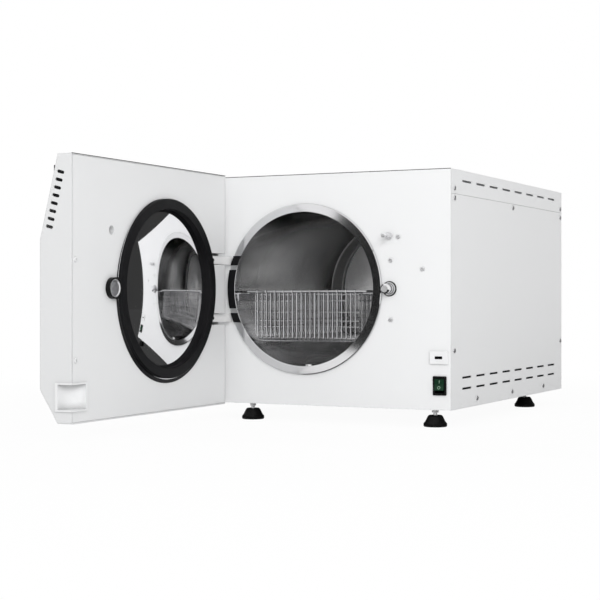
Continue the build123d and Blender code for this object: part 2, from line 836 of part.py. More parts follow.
def make_door_cover():
    outer = door_profile(0, (free_y, hinge_y), door_break_round)
    ends = [edge for edge in outer.edges() if abs(edge.center().Y - free_y) < 0.01 or abs(edge.center().Y - hinge_y) < 0.01]
    rounded = [edge for edge in ends if edge.center().X < plate_x - door_edge_round]
    outer = fillet(rounded, door_edge_round)
    inner = door_profile(door_wall, (free_y + door_wall, hinge_y - door_wall), door_break_round - door_wall)
    mouth_depth = plate_x - 2 * plate_sheet - plate_fit
    cavity = inner & block((left_x * 2, mouth_depth), (free_y, hinge_y), (0, body_height))
    opening = block(
        (plate_x - 3 * plate_sheet - plate_fit, plate_x + 1), (free_y + door_lip, hinge_y - door_lip), (door_lip, body_height - door_lip))
    seat = block((plate_x - plate_sheet, plate_x + 1), (free_y + door_wall, hinge_y - door_wall), (door_wall, body_height - door_wall))
    cover = outer - cavity - opening - seat
    cover = cut_all(cover, arm_notches())
    for step in range(door_vents):
        cover = cover - vent_cut(step)
    plane = panel_plane()
    window = Pos(window_place, 0, 0) * Box(window_size[0], window_size[1], 4 * door_wall)
    cover = cover - plane.location * window
    for place in key_places():
        cover = cover - plane.location * (Pos(place, 0, 0) * Cylinder(key_radius + key_fit, 4 * door_wall))
    cover = cover - pull_hole()
    return cover


def vent_cut(step):
    """One slot in the free edge side, square to the slanted facet."""
    z = body_height - door_vent_first - step * door_vent_pitch
    skin = plate_x - door_thin - (body_height - z) * tan(slope)
    start = skin + door_vent_inset
    outline = Plane.XZ * SlotOverall(door_vent_length, door_vent_height)
    slot = Pos(door_vent_length / 2, 0, 0) * extrude(outline, 2 * door_wall, both=True)
    return Pos(start, free_y, z) * Rot(0, degrees(slope), 0) * slot


def pull_hole():
    return block(
        (plate_x - pull_side + pull_wall, plate_x + 1), (free_y - 1, free_y + pull_face - pull_wall),
        (pull_bottom + pull_wall / 2, pull_bottom + pull_height - pull_wall / 2))


def make_finger_pull():
    body = block(
        (plate_x - pull_side + pull_wall, plate_x), (free_y, free_y + pull_face - pull_wall),
        (pull_bottom + pull_wall / 2, pull_bottom + pull_height - pull_wall / 2))
    face_rim = block((plate_x, plate_x + pull_rim), (free_y - pull_rim, free_y + pull_face), (pull_bottom, pull_bottom + pull_height))
    side_rim = block((plate_x - pull_side, plate_x + pull_rim), (free_y - pull_rim, free_y), (pull_bottom, pull_bottom + pull_height))
    pull = body + face_rim + side_rim
    scoop = extrude(Ellipse(pull_side - pull_wall, pull_face - pull_wall), pull_height - 2 * pull_wall)
    return pull - Pos(plate_x + pull_rim, free_y - pull_rim, pull_bottom + pull_wall) * scoop


def make_door_plate():
    y = (free_y + door_wall + plate_fit, hinge_y - door_wall - plate_fit)
    z = (door_wall + plate_fit, body_height - door_wall - plate_fit)
    plate = block((plate_x - plate_sheet, plate_x), y, z)
    through = (plate_x - 2 * plate_sheet, plate_x + 1)
    cuts = [rod_x(lid_hole, lid_y, chamber_height, through)]
    cuts.append(rod_x(cup_radius + plate_fit, latch_y, chamber_height, through))
    cuts += [rod_x(screw_shank, free_y + y_in, z_in, through) for y_in, z_in in door_screw_places]
    plate = cut_all(plate, cuts + arm_notches() + [pull_hole()])
    floor = plate_x - sensor_pocket_depth
    pocket = rod_x(sensor_hole + sensor_pocket_wall, latch_y, sensor_z, (floor - sensor_pocket_wall, plate_x))
    return plate + pocket - rod_x(sensor_hole, latch_y, sensor_z, (floor, plate_x + 1))


def make_door_screws():
    turn = Rot(0, 90, 0)
    return [Pos(plate_x, free_y + y, z) * turn * pan_screw(screw_head, plate_sheet) for y, z in door_screw_places]


# Lid
def turned_x(outline, y, z):
    """A turned part about a line along x; the outline's points are x and radius."""
    face = make_face(Polyline(*outline, close=True))
    return Pos(0, y, z) * revolve(face, Axis.X)


def cup_space():
    """The clear way round the latch cup."""
    return rod_x(cup_radius + seam, latch_y, chamber_height, (plate_x - plate_sheet, gasket_front))


def make_lid_disc():
    """The pressed lid: a shallow dome towards the chamber, with a rib and a boss behind it."""
    curve = (lid_radius ** 2 + lid_dome ** 2) / (2 * lid_dome)
    crown = lid_front + lid_dome
    half = asin(lid_radius / curve) / 2
    dome = ThreePointArc(
        (crown, 0), (crown - curve + curve * cos(half), curve * sin(half)), (lid_front, lid_radius))
    boss_end = lid_back - lid_boss_length
    rib_end = lid_back - lid_rib_height
    rib_outer = lid_rib_radius + lid_rib_width
    back = Polyline(
        (lid_front, lid_radius), (lid_back, lid_radius), (lid_back, rib_outer), (rib_end, rib_outer),
        (rib_end, lid_rib_radius), (lid_back, lid_rib_radius), (lid_back, lid_boss), (boss_end, lid_boss),
        (boss_end, lid_stud), (yoke_front, lid_stud), (yoke_front, 0), (crown, 0))
    return Pos(0, lid_y, chamber_height) * revolve(make_face([dome, back]), Axis.X)


def make_lid_gasket():
    neck = lid_radius + gasket_neck
    back = gasket_front - gasket_thick
    lip = 1.2
    outline = (
        (lid_back, lid_radius), (lid_back, neck), (back, neck), (back, gasket_radius), (gasket_front - lip, gasket_radius),
        (gasket_front, gasket_radius - lip), (gasket_front, lid_radius + lip), (gasket_front - lip, lid_radius))
    return turned_x(outline, lid_y, chamber_height)


def make_lid_rim():
    neck = lid_radius + gasket_neck
    front = gasket_front - gasket_thick
    outer = gasket_radius + rim_over
    outline = ((front - rim_thick, neck), (front, neck), (front, outer), (front - rim_thick, outer))
    return turned_x(outline, lid_y, chamber_height) - cup_space()


def make_lid_trim():
    front = gasket_front - gasket_thick - rim_thick
    inner = trim_radius - trim_width
    outline = ((plate_x, inner), (front, inner), (front, trim_radius - 0.8), (front - 0.8, trim_radius), (plate_x, trim_radius))
    trim = turned_x(outline, lid_y, chamber_height - trim_drop)
    return cut_all(trim, arm_notches() + [cup_space()])


def make_lid_yoke():
    y0 = latch_y - cup_radius
    y1 = pivot_y + arm_eye
    z = (chamber_height - yoke_height / 2, chamber_height + yoke_height / 2)
    beam = block((yoke_back, yoke_front), (y0, y1), z)
    beam = fillet(beam.edges().filter_by(Axis.X), 8.0)
    windows = []
    for centre in ((lid_y + latch_y) / 2, (lid_y + pivot_y) / 2):
        window = block(
            (yoke_back, yoke_front), (centre - yoke_window, centre + yoke_window),
            (chamber_height - yoke_height / 4, chamber_height + yoke_height / 4))
        windows.append(fillet(window.edges().filter_by(Axis.X), 10.0))
    beam = cut_all(beam, windows)
    for y in (latch_y, lid_y):
        beam = beam + rod_x(post_radius, y, chamber_height, (skin_x, yoke_back))
    return beam


def make_latch_boss():
    x = (plate_x, gasket_front)
    outer = cup_radius + boss_wall
    boss = rod_x(outer, latch_y, chamber_height, x)
    neck = block(x, (latch_y, latch_y + outer), (chamber_height - outer, chamber_height + outer))
    boss = boss + neck
    boss = boss - rod_x(gasket_radius + rim_over + seam, lid_y, chamber_height, x)
    boss = boss - rod_x(trim_radius + seam, lid_y, chamber_height - trim_drop, x)
    return boss - rod_x(cup_radius, latch_y, chamber_height, x)


def make_latch_cup():
    front = gasket_front
    inner = front - cup_depth
    back = inner - cup_floor
    outline = (
        (yoke_front, 0), (yoke_front, 5), (back, 5), (back, cup_radius), (front, cup_radius), (front, cup_bore + 0.8),
        (front - 1.2, cup_bore), (inner, cup_bore), (inner, 0))
    return turned_x(outline, latch_y, chamber_height)


# Control panel
def make_window():
    inner = Box(window_size[0] - 2 * seam, window_size[1] - 2 * seam, window_thick, align=(Align.CENTER, Align.CENTER, Align.MAX))
    return panel_plane().location * (Pos(window_place, 0, 0) * inner)


def make_key(place):
    cap = Cylinder(key_radius, key_cap, align=(Align.CENTER, Align.CENTER, Align.MIN))
    cap = fillet(cap.edges().group_by(Axis.Z)[-1], 0.8)
    cap = Pos(0, 0, key_proud - key_cap) * cap
    rim = Pos(0, 0, key_proud - key_cap) * Cylinder(key_flange, key_flange_thick, align=(Align.CENTER, Align.CENTER, Align.MAX))
    return panel_plane().location * (Pos(place, 0, 0) * (cap + rim))


def make_board():
    back = board_depth
    board = Pos(0, 0, -back) * Box(board_size[0], board_size[1], board_thick, align=(Align.CENTER, Align.CENTER, Align.MAX))
    for place in key_places():
        switch = Pos(place, 0, -back) * Box(6, 6, back - key_under - key_travel - key_spare, align=(Align.CENTER, Align.CENTER, Align.MIN))
        board = board + switch
    for sx in (-1, 1):
        for sy in (-1, 1):
            peg = Pos(sx * (board_size[0] / 2 - 5), sy * (board_size[1] / 2 - board_peg_inset), -back)
            board = board + peg * Cylinder(3, back - door_wall - 0.05, align=(Align.CENTER, Align.CENTER, Align.MIN))
    lcd = Pos(window_place, 0, -back) * Box(
        window_size[0] - 8, window_size[1] - 6, back - window_thick - seam, align=(Align.CENTER, Align.CENTER, Align.MIN))
    return panel_plane().location * (board + lcd)


# Lock and sensor
def make_lock_guide():
    r = lock_pin_radius + pin_fit
    outline = (
        (r, -lock_guide_proud), (lock_guide_radius - 0.8, -lock_guide_proud), (lock_guide_radius, -lock_guide_proud + 0.8),
        (lock_guide_radius, 0), (lock_guide_radius - 2 - ring_fit, 0), (lock_guide_radius - 2 - ring_fit, lock_guide_length),
        (r, lock_guide_length))
    return turned_y(outline, lock_x, chamber_height)


def make_lock_pin():
    tip = -lock_pin_reach
    neck = tip + lock_head
    shank = neck + lock_groove
    outline = (
        (0, tip), (lock_pin_radius - 2.5, tip), (lock_pin_radius, tip + 2.5), (lock_pin_radius, neck),
        (lock_groove_radius, neck), (lock_groove_radius, shank), (lock_pin_radius, shank),
        (lock_pin_radius, lock_guide_length - 2), (0, lock_guide_length - 2))
    return turned_y(outline, lock_x, chamber_height)


def make_lock_motor():
    start = lock_guide_length - 2 + lock_travel + seam
    shell = rod_y(lock_guide_radius, lock_x, chamber_height, (start + 6, start + 6 + lock_motor_length))
    yoke = rod_y(lock_guide_radius, lock_x, chamber_height, (lock_guide_length, start + 6))
    yoke = yoke - rod_y(lock_pin_radius + 1, lock_x, chamber_height, (lock_guide_length, start))
    bracket = block((lock_x - lock_guide_radius, lock_x + bracket_width), (start + 6, start + 9), (chamber_height - 16, chamber_height + 16))
    arm = block((lock_x + bracket_width - 3, lock_x + bracket_width), (front_sheet, start + 9), (chamber_height - 16, chamber_height + 16))
    foot = block((lock_x + lock_guide_radius + 2, lock_x + bracket_width), (front_sheet, front_sheet + 2), (chamber_height - 16, chamber_height + 16))
    return shell + yoke + bracket + arm + foot


def make_sensor_bush():
    r = sensor_radius + pin_fit
    outline = (
        (r, -4), (sensor_bush, -4), (sensor_bush, 0), (sensor_bush - 1 - ring_fit, 0),
        (sensor_bush - 1 - ring_fit, front_sheet + seam), (sensor_bush + 2.5, front_sheet + seam), (sensor_bush + 2.5, 16), (r, 16))
    return turned_y(outline, lock_x, sensor_z)


def make_sensor_plunger():
    tip = -sensor_reach
    outline = (
        (0, tip), (sensor_radius - 1.2, tip), (sensor_radius, tip + 1.2), (sensor_radius, tip + 8), (sensor_radius - 0.8, tip + 8.8),
        (sensor_radius - 0.8, tip + 11), (sensor_radius, tip + 11.8), (sensor_radius, 18), (0, 18))
    return turned_y(outline, lock_x, sensor_z)


# Feet
def make_foot_pads():
    pads = []
    floor = foot_z
    top = floor + foot_height
    seat = top - stud_into_foot
    outline = (
        (0, floor), (foot_radius - 1, floor), (foot_radius, floor + 1), (foot_radius, floor + foot_rim),
        (foot_radius - 2.5, floor + foot_rim + 3), (foot_top_radius + 2, top - 2), (foot_top_radius, top),
        (stud_radius, top), (stud_radius, seat), (0, seat))
    for x, y in foot_places:
        pads.append(turned_z(outline, -x, y))
    return pads


def make_foot_studs():
    studs = []
    seat = foot_z + foot_height - stud_into_foot
    for x, y in foot_places:
        stud = rod_z(stud_radius, -x, y, (seat, inner_sheet + nut_height + 3))
        nuts = []
        for low in (-nut_height, inner_sheet):
            hexagon = extrude(RegularPolygon(nut_radius, 6), nut_height)
            nuts.append(Pos(-x, y, low) * hexagon)
        studs.append(stud + nuts)
    return studs


def make_fan_frame():
    y1 = back_y - inner_sheet
    y0 = y1 - fan_depth
    half = fan_size / 2
    frame = block((fan_x - half, fan_x + half), (y0, y1), (fan_z - half, fan_z + half))
    frame = fillet(frame.edges().filter_by(Axis.Y), 6.0)
    frame = frame - rod_y(fan_open + 3, fan_x, fan_z, (y0, y1))
    hub = rod_y(fan_hub, fan_x, fan_z, (y0, y0 + 5))
    frame = frame + hub
    for turn in range(4):
        angle = radians(45 + 90 * turn)
        arm = Box(fan_open + 3 - fan_hub + 3, 4, 5, align=(Align.MIN, Align.MIN, Align.CENTER))
        frame = frame + Pos(fan_x, y0, fan_z) * Rot(0, degrees(angle), 0) * Pos(fan_hub - 1, 0, 0) * arm
    shaft = rod_y(fan_shaft, fan_x, fan_z, (y0 + 5, y0 + 16))
    screws = []
    for sx in (-1, 1):
        for sz in (-1, 1):
            screws.append(rod_y(2, fan_x + sx * (half - 8), fan_z + sz * (half - 8), (y1, back_y)))
    return frame + shaft + screws


def make_fan_rotor():
    y1 = back_y - inner_sheet
    y0 = y1 - fan_depth + 5 + fan_seat_gap
    hub = rod_y(fan_hub, fan_x, fan_z, (y0, y1 - 2)) - rod_y(fan_shaft + pin_fit, fan_x, fan_z, (y0 - 1, y0 + 12))
    rotor = hub
    for turn in range(fan_blades):
        blade = Box(fan_open - fan_hub + 1, 12, 1.8, align=(Align.MIN, Align.CENTER, Align.CENTER))
        rotor = rotor + Pos(fan_x, (y0 + y1 - 2) / 2, fan_z) * Rot(0, turn * 360 / fan_blades, 0) * Pos(fan_hub - 1, 0, 0) * Rot(35, 0, 0) * blade
    return rotor


def make_condenser():
    y1 = back_y - inner_sheet - fan_depth
    y0 = y1 - condenser_depth
    half = fan_size / 2 - 4
    fins = []
    count = 12
    for step in range(count):
        z = fan_z - half + step * (2 * half - 1) / (count - 1)
        fins.append(block((fan_x - half, fan_x + half), (y0, y1), (z, z + 1)))
    ends = [block((fan_x + sign * half - 1, fan_x + sign * half + 1), (y0, y1), (fan_z - half, fan_z + half)) for sign in (-1, 1)]
    tubes = [rod_z(4, fan_x + dx, (y0 + y1) / 2, (fan_z - half - 8, fan_z + half + 8)) for dx in (-36, -12, 12, 36)]
    part = ends[0] + ends[1]
    for piece in fins + tubes:
        part = part + piece
    return part


def make_tank_shelf():
    y0, y1 = shelf_span
    x = (left_x + sheet + inner_sheet, -sheet - inner_sheet)
    deck = block(x, (y0, back_y - flange), (shelf_z, shelf_z + inner_sheet))
    middle_deck = block((x[0] + flange, x[1] - flange), (y0, back_y - inner_sheet), (shelf_z, shelf_z + inner_sheet))
    lip = block(x, (y0, y0 + inner_sheet), (shelf_z, shelf_z + 14))
    rear = block((x[0] + flange, x[1] - flange), (back_y - 2 * inner_sheet, back_y), (shelf_z, shelf_z + 14))
    ends = block((x[1] - inner_sheet, x[1]), (y0, back_y - flange), (shelf_z, shelf_z + 14))
    return deck + middle_deck + lip + rear + both_sides(ends)


def make_tanks():
    tanks = []
    z = (shelf_z + inner_sheet, shelf_z + inner_sheet + tank_height)
    for x in ((-430.0, -238.0), (-228.0, -36.0)):
        y = (shelf_span[0] + 4, shelf_span[1] - 6)
        tank = fillet(block(x, y, z).edges().filter_by(Axis.Z), 8.0)
        hollow = block((x[0] + tank_wall, x[1] - tank_wall), (y[0] + tank_wall, y[1] - tank_wall), (z[0] + tank_wall, z[1] + 1))
        neck = rod_z(14, middle(x), middle(y), (z[1] - tank_wall, z[1] + 4))
        lid = block((x[0] + tank_wall, x[1] - tank_wall), (y[0] + tank_wall, y[1] - tank_wall), (z[1] - tank_wall, z[1]))
        tanks.append(tank - hollow + lid + neck)
    return tanks


def make_pump():
    z = inner_sheet + pump_height
    motor = rod_x(pump_radius, pump_y, z, (pump_x - pump_length / 2, pump_x + pump_length / 2))
    heads = []
    for sign in (-1, 1):
        x0 = pump_x + sign * pump_length / 2
        head = block((min(x0, x0 + sign * 18), max(x0, x0 + sign * 18)), (pump_y - 24, pump_y + 24), (z - 24, z + 40))
        heads.append(fillet(head.edges().filter_by(Axis.X), 5.0))
    cradle = block((pump_x - pump_length / 2 + 5, pump_x + pump_length / 2 - 5), (pump_y - 30, pump_y + 30), (inner_sheet + 12, inner_sheet + 15))
    saddle = block((pump_x - 20, pump_x + 20), (pump_y - 18, pump_y + 18), (inner_sheet + 15, z))
    feet = []
    for sx in (-1, 1):
        for sy in (-1, 1):
            feet.append(rod_z(6, pump_x + sx * 34, pump_y + sy * 22, (inner_sheet, inner_sheet + 12)))
    return motor + heads + cradle + saddle + feet


def make_valve_block():
    z0 = inner_sheet
    legs = [block((-104, -62), (y, y + 3), (z0, z0 + 24)) for y in (202, 315)]
    rail = block((-104, -62), (202, 318), (z0 + 24, z0 + 48))
    part = rail + legs
    for y in (220, 246, 272, 298):
        part = part + rod_z(3, -83, y, (z0 + 48, z0 + 54))
    return part


def make_solenoids():
    coils = []
    z0 = inner_sheet + 54
    for y in (220, 246, 272, 298):
        coil = block((-95, -71), (y - 11, y + 11), (z0, z0 + 28))
        coils.append(fillet(coil.edges().filter_by(Axis.Z), 3.0) + rod_z(5, -83, y, (z0 + 28, z0 + 36)))
    return coils


def make_bay_plate():
    plate = block((bay_plate_x, bay_plate_x + inner_sheet), bay_plate_span, (inner_sheet, bay_plate_top))
    foot = block((bay_plate_x, bay_plate_x + 14), bay_plate_span, (inner_sheet, 2 * inner_sheet))
    holes = [block((bay_plate_x - 1, bay_plate_x + 3), (y, y + 30), (60, 90)) for y in (140, 220, 340)]
    return cut_all(plate + foot, holes)


def make_control_board():
    face = bay_plate_x + inner_sheet
    board = block((face + 8, face + 9.6), board_span, board_zs)
    y0, y1 = board_span
    z0, z1 = board_zs
    part = board
    for y in (y0 + 8, y1 - 8):
        for z in (z0 + 8, z1 - 8):
            part = part + rod_x(3, y, z, (face, face + 8))
    chips = ((30, 40, 30, 30, 8), (90, 120, 40, 40, 4), (120, 30, 22, 26, 14), (40, 130, 26, 20, 12), (130, 90, 20, 50, 10))
    for dy, dz, w, h, tall in chips:
        part = part + block((face + 9.6, face + 9.6 + tall), (y0 + dy, y0 + dy + w), (z0 + dz, z0 + dz + h))
    return part


def make_supply():
    face = bay_plate_x + inner_sheet
    box = block((face, face + 32), supply_span, (140, 300))
    cuts = [block((face + 31, face + 33), (supply_span[0] + 10, supply_span[1] - 10), (z, z + 4)) for z in range(156, 290, 12)]
    return cut_all(box, cuts)


def pipe(points, radius, bend):
    path = FilletPolyline(*points, radius=bend)
    ring = Plane(origin=path @ 0, z_dir=path % 0) * Circle(radius)
    return sweep(ring, path=path)


def make_pipes():
    back = vessel_end + dish_depth + vessel_wall
    port = pipe(
        ((chamber_x, back, chamber_height), (chamber_x, back + 26, chamber_height), (chamber_x, back + 26, 110),
         (chamber_x, pump_y, 110), (chamber_x, pump_y, inner_sheet + pump_height + 40)), 4.0, 10.0)
    drain_top = chamber_height - bore_radius - vessel_wall - 14
    drain = pipe(
        ((chamber_x, strainer_y, drain_top), (chamber_x, strainer_y, 26), (-124, strainer_y, 26), (-124, 258, 26), (-104, 258, 26)),
        4.0, 9.0)
    return [port, drain]


def make_mains_inlet():
    w, h = inlet_size
    x = (inlet_x - w / 2, inlet_x + w / 2)
    z = (inlet_z - h / 2, inlet_z + h / 2)
    face = block((x[0] - 5, x[1] + 5), (body_depth, body_depth + 2.5), (z[0] - 4, z[1] + 4))
    face = fillet(face.edges().filter_by(Axis.Y), 3.0)
    case = block((x[0] + ring_fit, x[1] - ring_fit), (body_depth - inlet_depth, body_depth), (z[0] + ring_fit, z[1] - ring_fit))
    well = block((x[0] + 3, x[1] - 3), (body_depth - inlet_depth + 5, body_depth + 4), (z[0] + 20, z[1] - 3))
    drawer = block((x[0] + 4, x[1] - 4), (body_depth + 2.5, body_depth + 3.7), (z[0] + 3, z[0] + 15))
    pins = [block((inlet_x + dx - 1, inlet_x + dx + 1), (body_depth - inlet_depth + 4, body_depth - 3), (zz - 2.2, zz + 2.2))
            for dx, zz in ((-7, z[1] - 15), (7, z[1] - 15), (0, z[1] - 9))]
    return face + case - well + drawer + pins


def make_drains():
    fittings = []
    for x in drain_xs:
        outline = (
            (4, body_depth + drain_proud), (6, body_depth + drain_proud), (6, body_depth + 6), (10, body_depth + 6), (10, body_depth),
            (drain_radius - ring_fit, body_depth), (drain_radius - ring_fit, back_y - 14), (4, back_y - 14))
        fittings.append(turned_y(outline, x, drain_z))
    return fittings


# Shift to the origin at the middle of the whole object's base, with the door open
reach_left = min(plate_x - door_thick, left_x - screw_head_height)
reach_right = screw_head_height
reach_front = free_y - pull_rim
reach_back = body_depth + drain_proud
origin = ((reach_left + reach_right) / 2, (reach_front + reach_back) / 2, foot_z)


def write(name, parts):
    solids = []
    for part in parts if isinstance(parts, list) else [parts]:
        solids += list(part.solids())
    moved = [Pos(-origin[0], -origin[1], -origin[2]) * solid for solid in solids]
    export_step(Compound(children=moved) if len(moved) > 1 else moved[0], "parts/" + name + ".step")


os.makedirs("parts", exist_ok=True)
write("side_panels", both_sides(make_side_panel()))
write("top_cover", make_top_cover())
write("base_pan", make_base_pan())
write("rear_panel", make_rear_panel())
write("inner_frame", make_rear_posts() + make_top_rails() + [make_tank_shelf()])
write("case_screws", make_case_screws() + make_front_screws())
write("front_panel", make_front_panel())
write("usb_plate", make_usb_plate())
write("switch_frame", make_switch_frame())
write("rocker", make_rocker())
write("chamber_ring", make_chamber_ring())
write("hinge_pads", make_hinge_pads())
write("chamber_vessel", make_vessel())
write("heater_bands", make_heater_bands())
write("insulation_jacket", make_jacket())
write("chamber_cradle", make_cradle())
write("chamber_strainer", make_strainer())
write("shelf_rails", make_shelf_rails())
write("basket_rim", make_basket_rim())
write("basket_ends", make_basket_ends())
write("basket_sides", make_basket_sides())
write("basket_floor", make_basket_floor())
write("hinge_arms", make_hinge_arms())
write("hinge_bracket", make_hinge_bracket())
write("hinge_pins", make_hinge_pins())
write("door_cover", make_door_cover())
write("door_plate", make_door_plate())
write("door_screws", make_door_screws())
write("finger_pull", make_finger_pull())
write("lid_disc", make_lid_disc())
write("lid_gasket", make_lid_gasket())
write("lid_rim", make_lid_rim())
write("lid_trim", make_lid_trim())
write("lid_yoke", make_lid_yoke())
write("latch_boss", make_latch_boss())
write("latch_cup", make_latch_cup())
write("display_window", make_window())
write("key_board", make_board())
for number, place in enumerate(key_places(), 1):
    write(f"key_{number}", make_key(place))
write("lock_guide", make_lock_guide())
write("lock_pin", make_lock_pin())
write("lock_motor", make_lock_motor())
write("sensor_bush", make_sensor_bush())
write("sensor_plunger", make_sensor_plunger())
write("foot_pads", make_foot_pads())
write("foot_studs", make_foot_studs())
write("fan_frame", make_fan_frame())
write("fan_rotor", make_fan_rotor())
write("condenser", make_condenser())
write("water_tanks", make_tanks())
write("vacuum_pump", make_pump())
write("valve_block", [make_valve_block()] + make_solenoids())
write("bay_plate", make_bay_plate())
write("control_board", make_control_board())
write("power_supply", make_supply())
write("pipes", make_pipes())
write("mains_inlet", make_mains_inlet())
write("drain_fittings", make_drains())
print("origin shift", [round(-value, 3) for value in origin])
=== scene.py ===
"""A vacuum autoclave with its door open: finishes, finer visible pieces, studio and camera."""
import json
from math import cos, pi, radians, sin, sqrt

import bmesh
import bpy
from mathutils import Matrix, Vector


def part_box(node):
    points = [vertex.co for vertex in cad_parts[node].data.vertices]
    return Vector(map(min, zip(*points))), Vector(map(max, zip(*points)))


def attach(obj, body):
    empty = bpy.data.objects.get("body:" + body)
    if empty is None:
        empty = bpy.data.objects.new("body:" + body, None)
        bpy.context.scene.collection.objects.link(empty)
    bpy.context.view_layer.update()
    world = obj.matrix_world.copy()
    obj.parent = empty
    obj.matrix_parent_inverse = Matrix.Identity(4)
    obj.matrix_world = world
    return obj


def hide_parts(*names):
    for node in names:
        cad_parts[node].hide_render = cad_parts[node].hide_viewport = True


MM = 0.001
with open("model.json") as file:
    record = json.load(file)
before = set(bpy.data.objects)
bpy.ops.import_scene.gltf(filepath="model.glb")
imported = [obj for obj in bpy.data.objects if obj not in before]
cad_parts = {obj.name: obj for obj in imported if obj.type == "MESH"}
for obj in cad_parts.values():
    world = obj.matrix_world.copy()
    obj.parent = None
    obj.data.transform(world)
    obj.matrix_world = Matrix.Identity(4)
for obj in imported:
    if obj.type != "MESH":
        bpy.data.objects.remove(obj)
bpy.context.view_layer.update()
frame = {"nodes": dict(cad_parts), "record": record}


# Small helpers for shader trees
def add_node(tree, kind, **settings):
    node = tree.nodes.new(kind)
    for name, value in settings.items():
        setattr(node, name, value)
    return node


def join(tree, socket, value):
    """Links an output to a socket, or sets the socket's own value."""
    if isinstance(value, bpy.types.NodeSocket):
        tree.links.new(value, socket)
    else:
        socket.default_value = value


def feed(tree, node, **inputs):
    """Sets or links a node's inputs; an underscore in a name stands for a space."""
    for name, value in inputs.items():
        join(tree, node.inputs[name.replace("_", " ")], value)
    return node


def calculate(tree, operation, a, b=0.0, c=0.0, clamp=False):
    node = add_node(tree, "ShaderNodeMath", operation=operation, use_clamp=clamp)
    for socket, value in zip(node.inputs, (a, b, c)):
        join(tree, socket, value)
    return node.outputs[0]


def calculate_vector(tree, operation, a, b=(0.0, 0.0, 0.0)):
    node = add_node(tree, "ShaderNodeVectorMath", operation=operation)
    for socket, value in zip(node.inputs, (a, b)):
        join(tree, socket, value)
    return node.outputs["Value"] if operation in ("LENGTH", "DOT_PRODUCT") else node.outputs["Vector"]


def spread(tree, value, low, high):
    """Turns a value between 0 and 1 into one between two limits."""
    node = add_node(tree, "ShaderNodeMapRange")
    return feed(tree, node, Value=value, To_Min=low, To_Max=high).outputs["Result"]


def uneven(tree, mask, roughness, smoother, rougher):
    """A roughness that is lowered by smoother where the mask is 0, and raised by rougher where it is 1."""
    return spread(tree, mask, roughness - smoother, roughness + rougher)


def object_place(tree):
    return add_node(tree, "ShaderNodeTexCoord").outputs["Object"]


def make_noise(tree, place, **inputs):
    return feed(tree, add_node(tree, "ShaderNodeTexNoise"), Vector=place, **inputs).outputs["Fac"]


def per_metre(tree, size):
    """How often a pattern of a size in mm repeats in a metre."""
    return calculate(tree, "DIVIDE", 1000.0, size)


def bump(tree, height, depth, normal=None):
    node = add_node(tree, "ShaderNodeBump")
    feed(tree, node, Height=height, Strength=1.0, Distance=depth)
    if normal:
        tree.links.new(normal, node.inputs["Normal"])
    return node.outputs["Normal"]


# Shared effects, as node groups. Dimples, blotches and patches are in mm, widths and reaches in metres
FLOAT = "NodeSocketFloat"
VECTOR = "NodeSocketVector"


def new_group(name, inputs, outputs):
    group = bpy.data.node_groups.new(name, "ShaderNodeTree")
    for label, kind, value in inputs:
        socket = group.interface.new_socket(label, in_out="INPUT", socket_type=kind)
        socket.default_value = value
    for label in outputs:
        group.interface.new_socket(label, in_out="OUTPUT", socket_type=FLOAT)
    return group, group.nodes.new("NodeGroupInput").outputs, group.nodes.new("NodeGroupOutput").inputs


def make_skin_group():
    """The small dimples of powder coat or moulded plastic, and a slow change of tone."""
    group, ins, outs = new_group(
        "Fine skin", (("Dimple Size", FLOAT, 0.8), ("Blotch Size", FLOAT, 60.0)), ("Height", "Tone"))
    place = object_place(group)
    fine = make_noise(group, place, Scale=per_metre(group, ins["Dimple Size"]), Detail=2.0)
    slow = make_noise(group, place, Scale=per_metre(group, ins["Blotch Size"]), Detail=4.0)
    group.links.new(fine, outs["Height"])
    group.links.new(slow, outs["Tone"])
    return group


def make_polish_group():
    """Fine polishing lines: noise drawn out along one axis, and slow patches in the polish."""
    group, ins, outs = new_group(
        "Polishing lines",
        (("Lines per Metre", VECTOR, (40.0, 2500.0, 2500.0)), ("Patch Size", FLOAT, 50.0)),
        ("Lines", "Patches"))
    place = object_place(group)
    drawn = calculate_vector(group, "MULTIPLY", place, ins["Lines per Metre"])
    lines = make_noise(group, drawn, Scale=1.0, Detail=3.0)
    patches = make_noise(group, place, Scale=per_metre(group, ins["Patch Size"]), Detail=3.0)
    group.links.new(lines, outs["Lines"])
    group.links.new(patches, outs["Patches"])
    return group


def make_turned_group():
    """Fine circles round an axis, as turning or polishing on a lathe leaves."""
    group, ins, outs = new_group(
        "Turned circles",
        (("Axis Point", VECTOR, (0.0, 0.0, 0.0)), ("Across", VECTOR, (1.0, 1.0, 0.0)),
         ("Circles per Metre", FLOAT, 1800.0)),
        ("Circles",))
    away = calculate_vector(group, "SUBTRACT", object_place(group), ins["Axis Point"])
    radius = calculate_vector(group, "LENGTH", calculate_vector(group, "MULTIPLY", away, ins["Across"]))
    circles = add_node(group, "ShaderNodeTexNoise", noise_dimensions="1D")
    count = calculate(group, "MULTIPLY", radius, ins["Circles per Metre"])
    feed(group, circles, W=count, Scale=1.0, Detail=3.0)
    group.links.new(circles.outputs["Fac"], outs["Circles"])
    return group


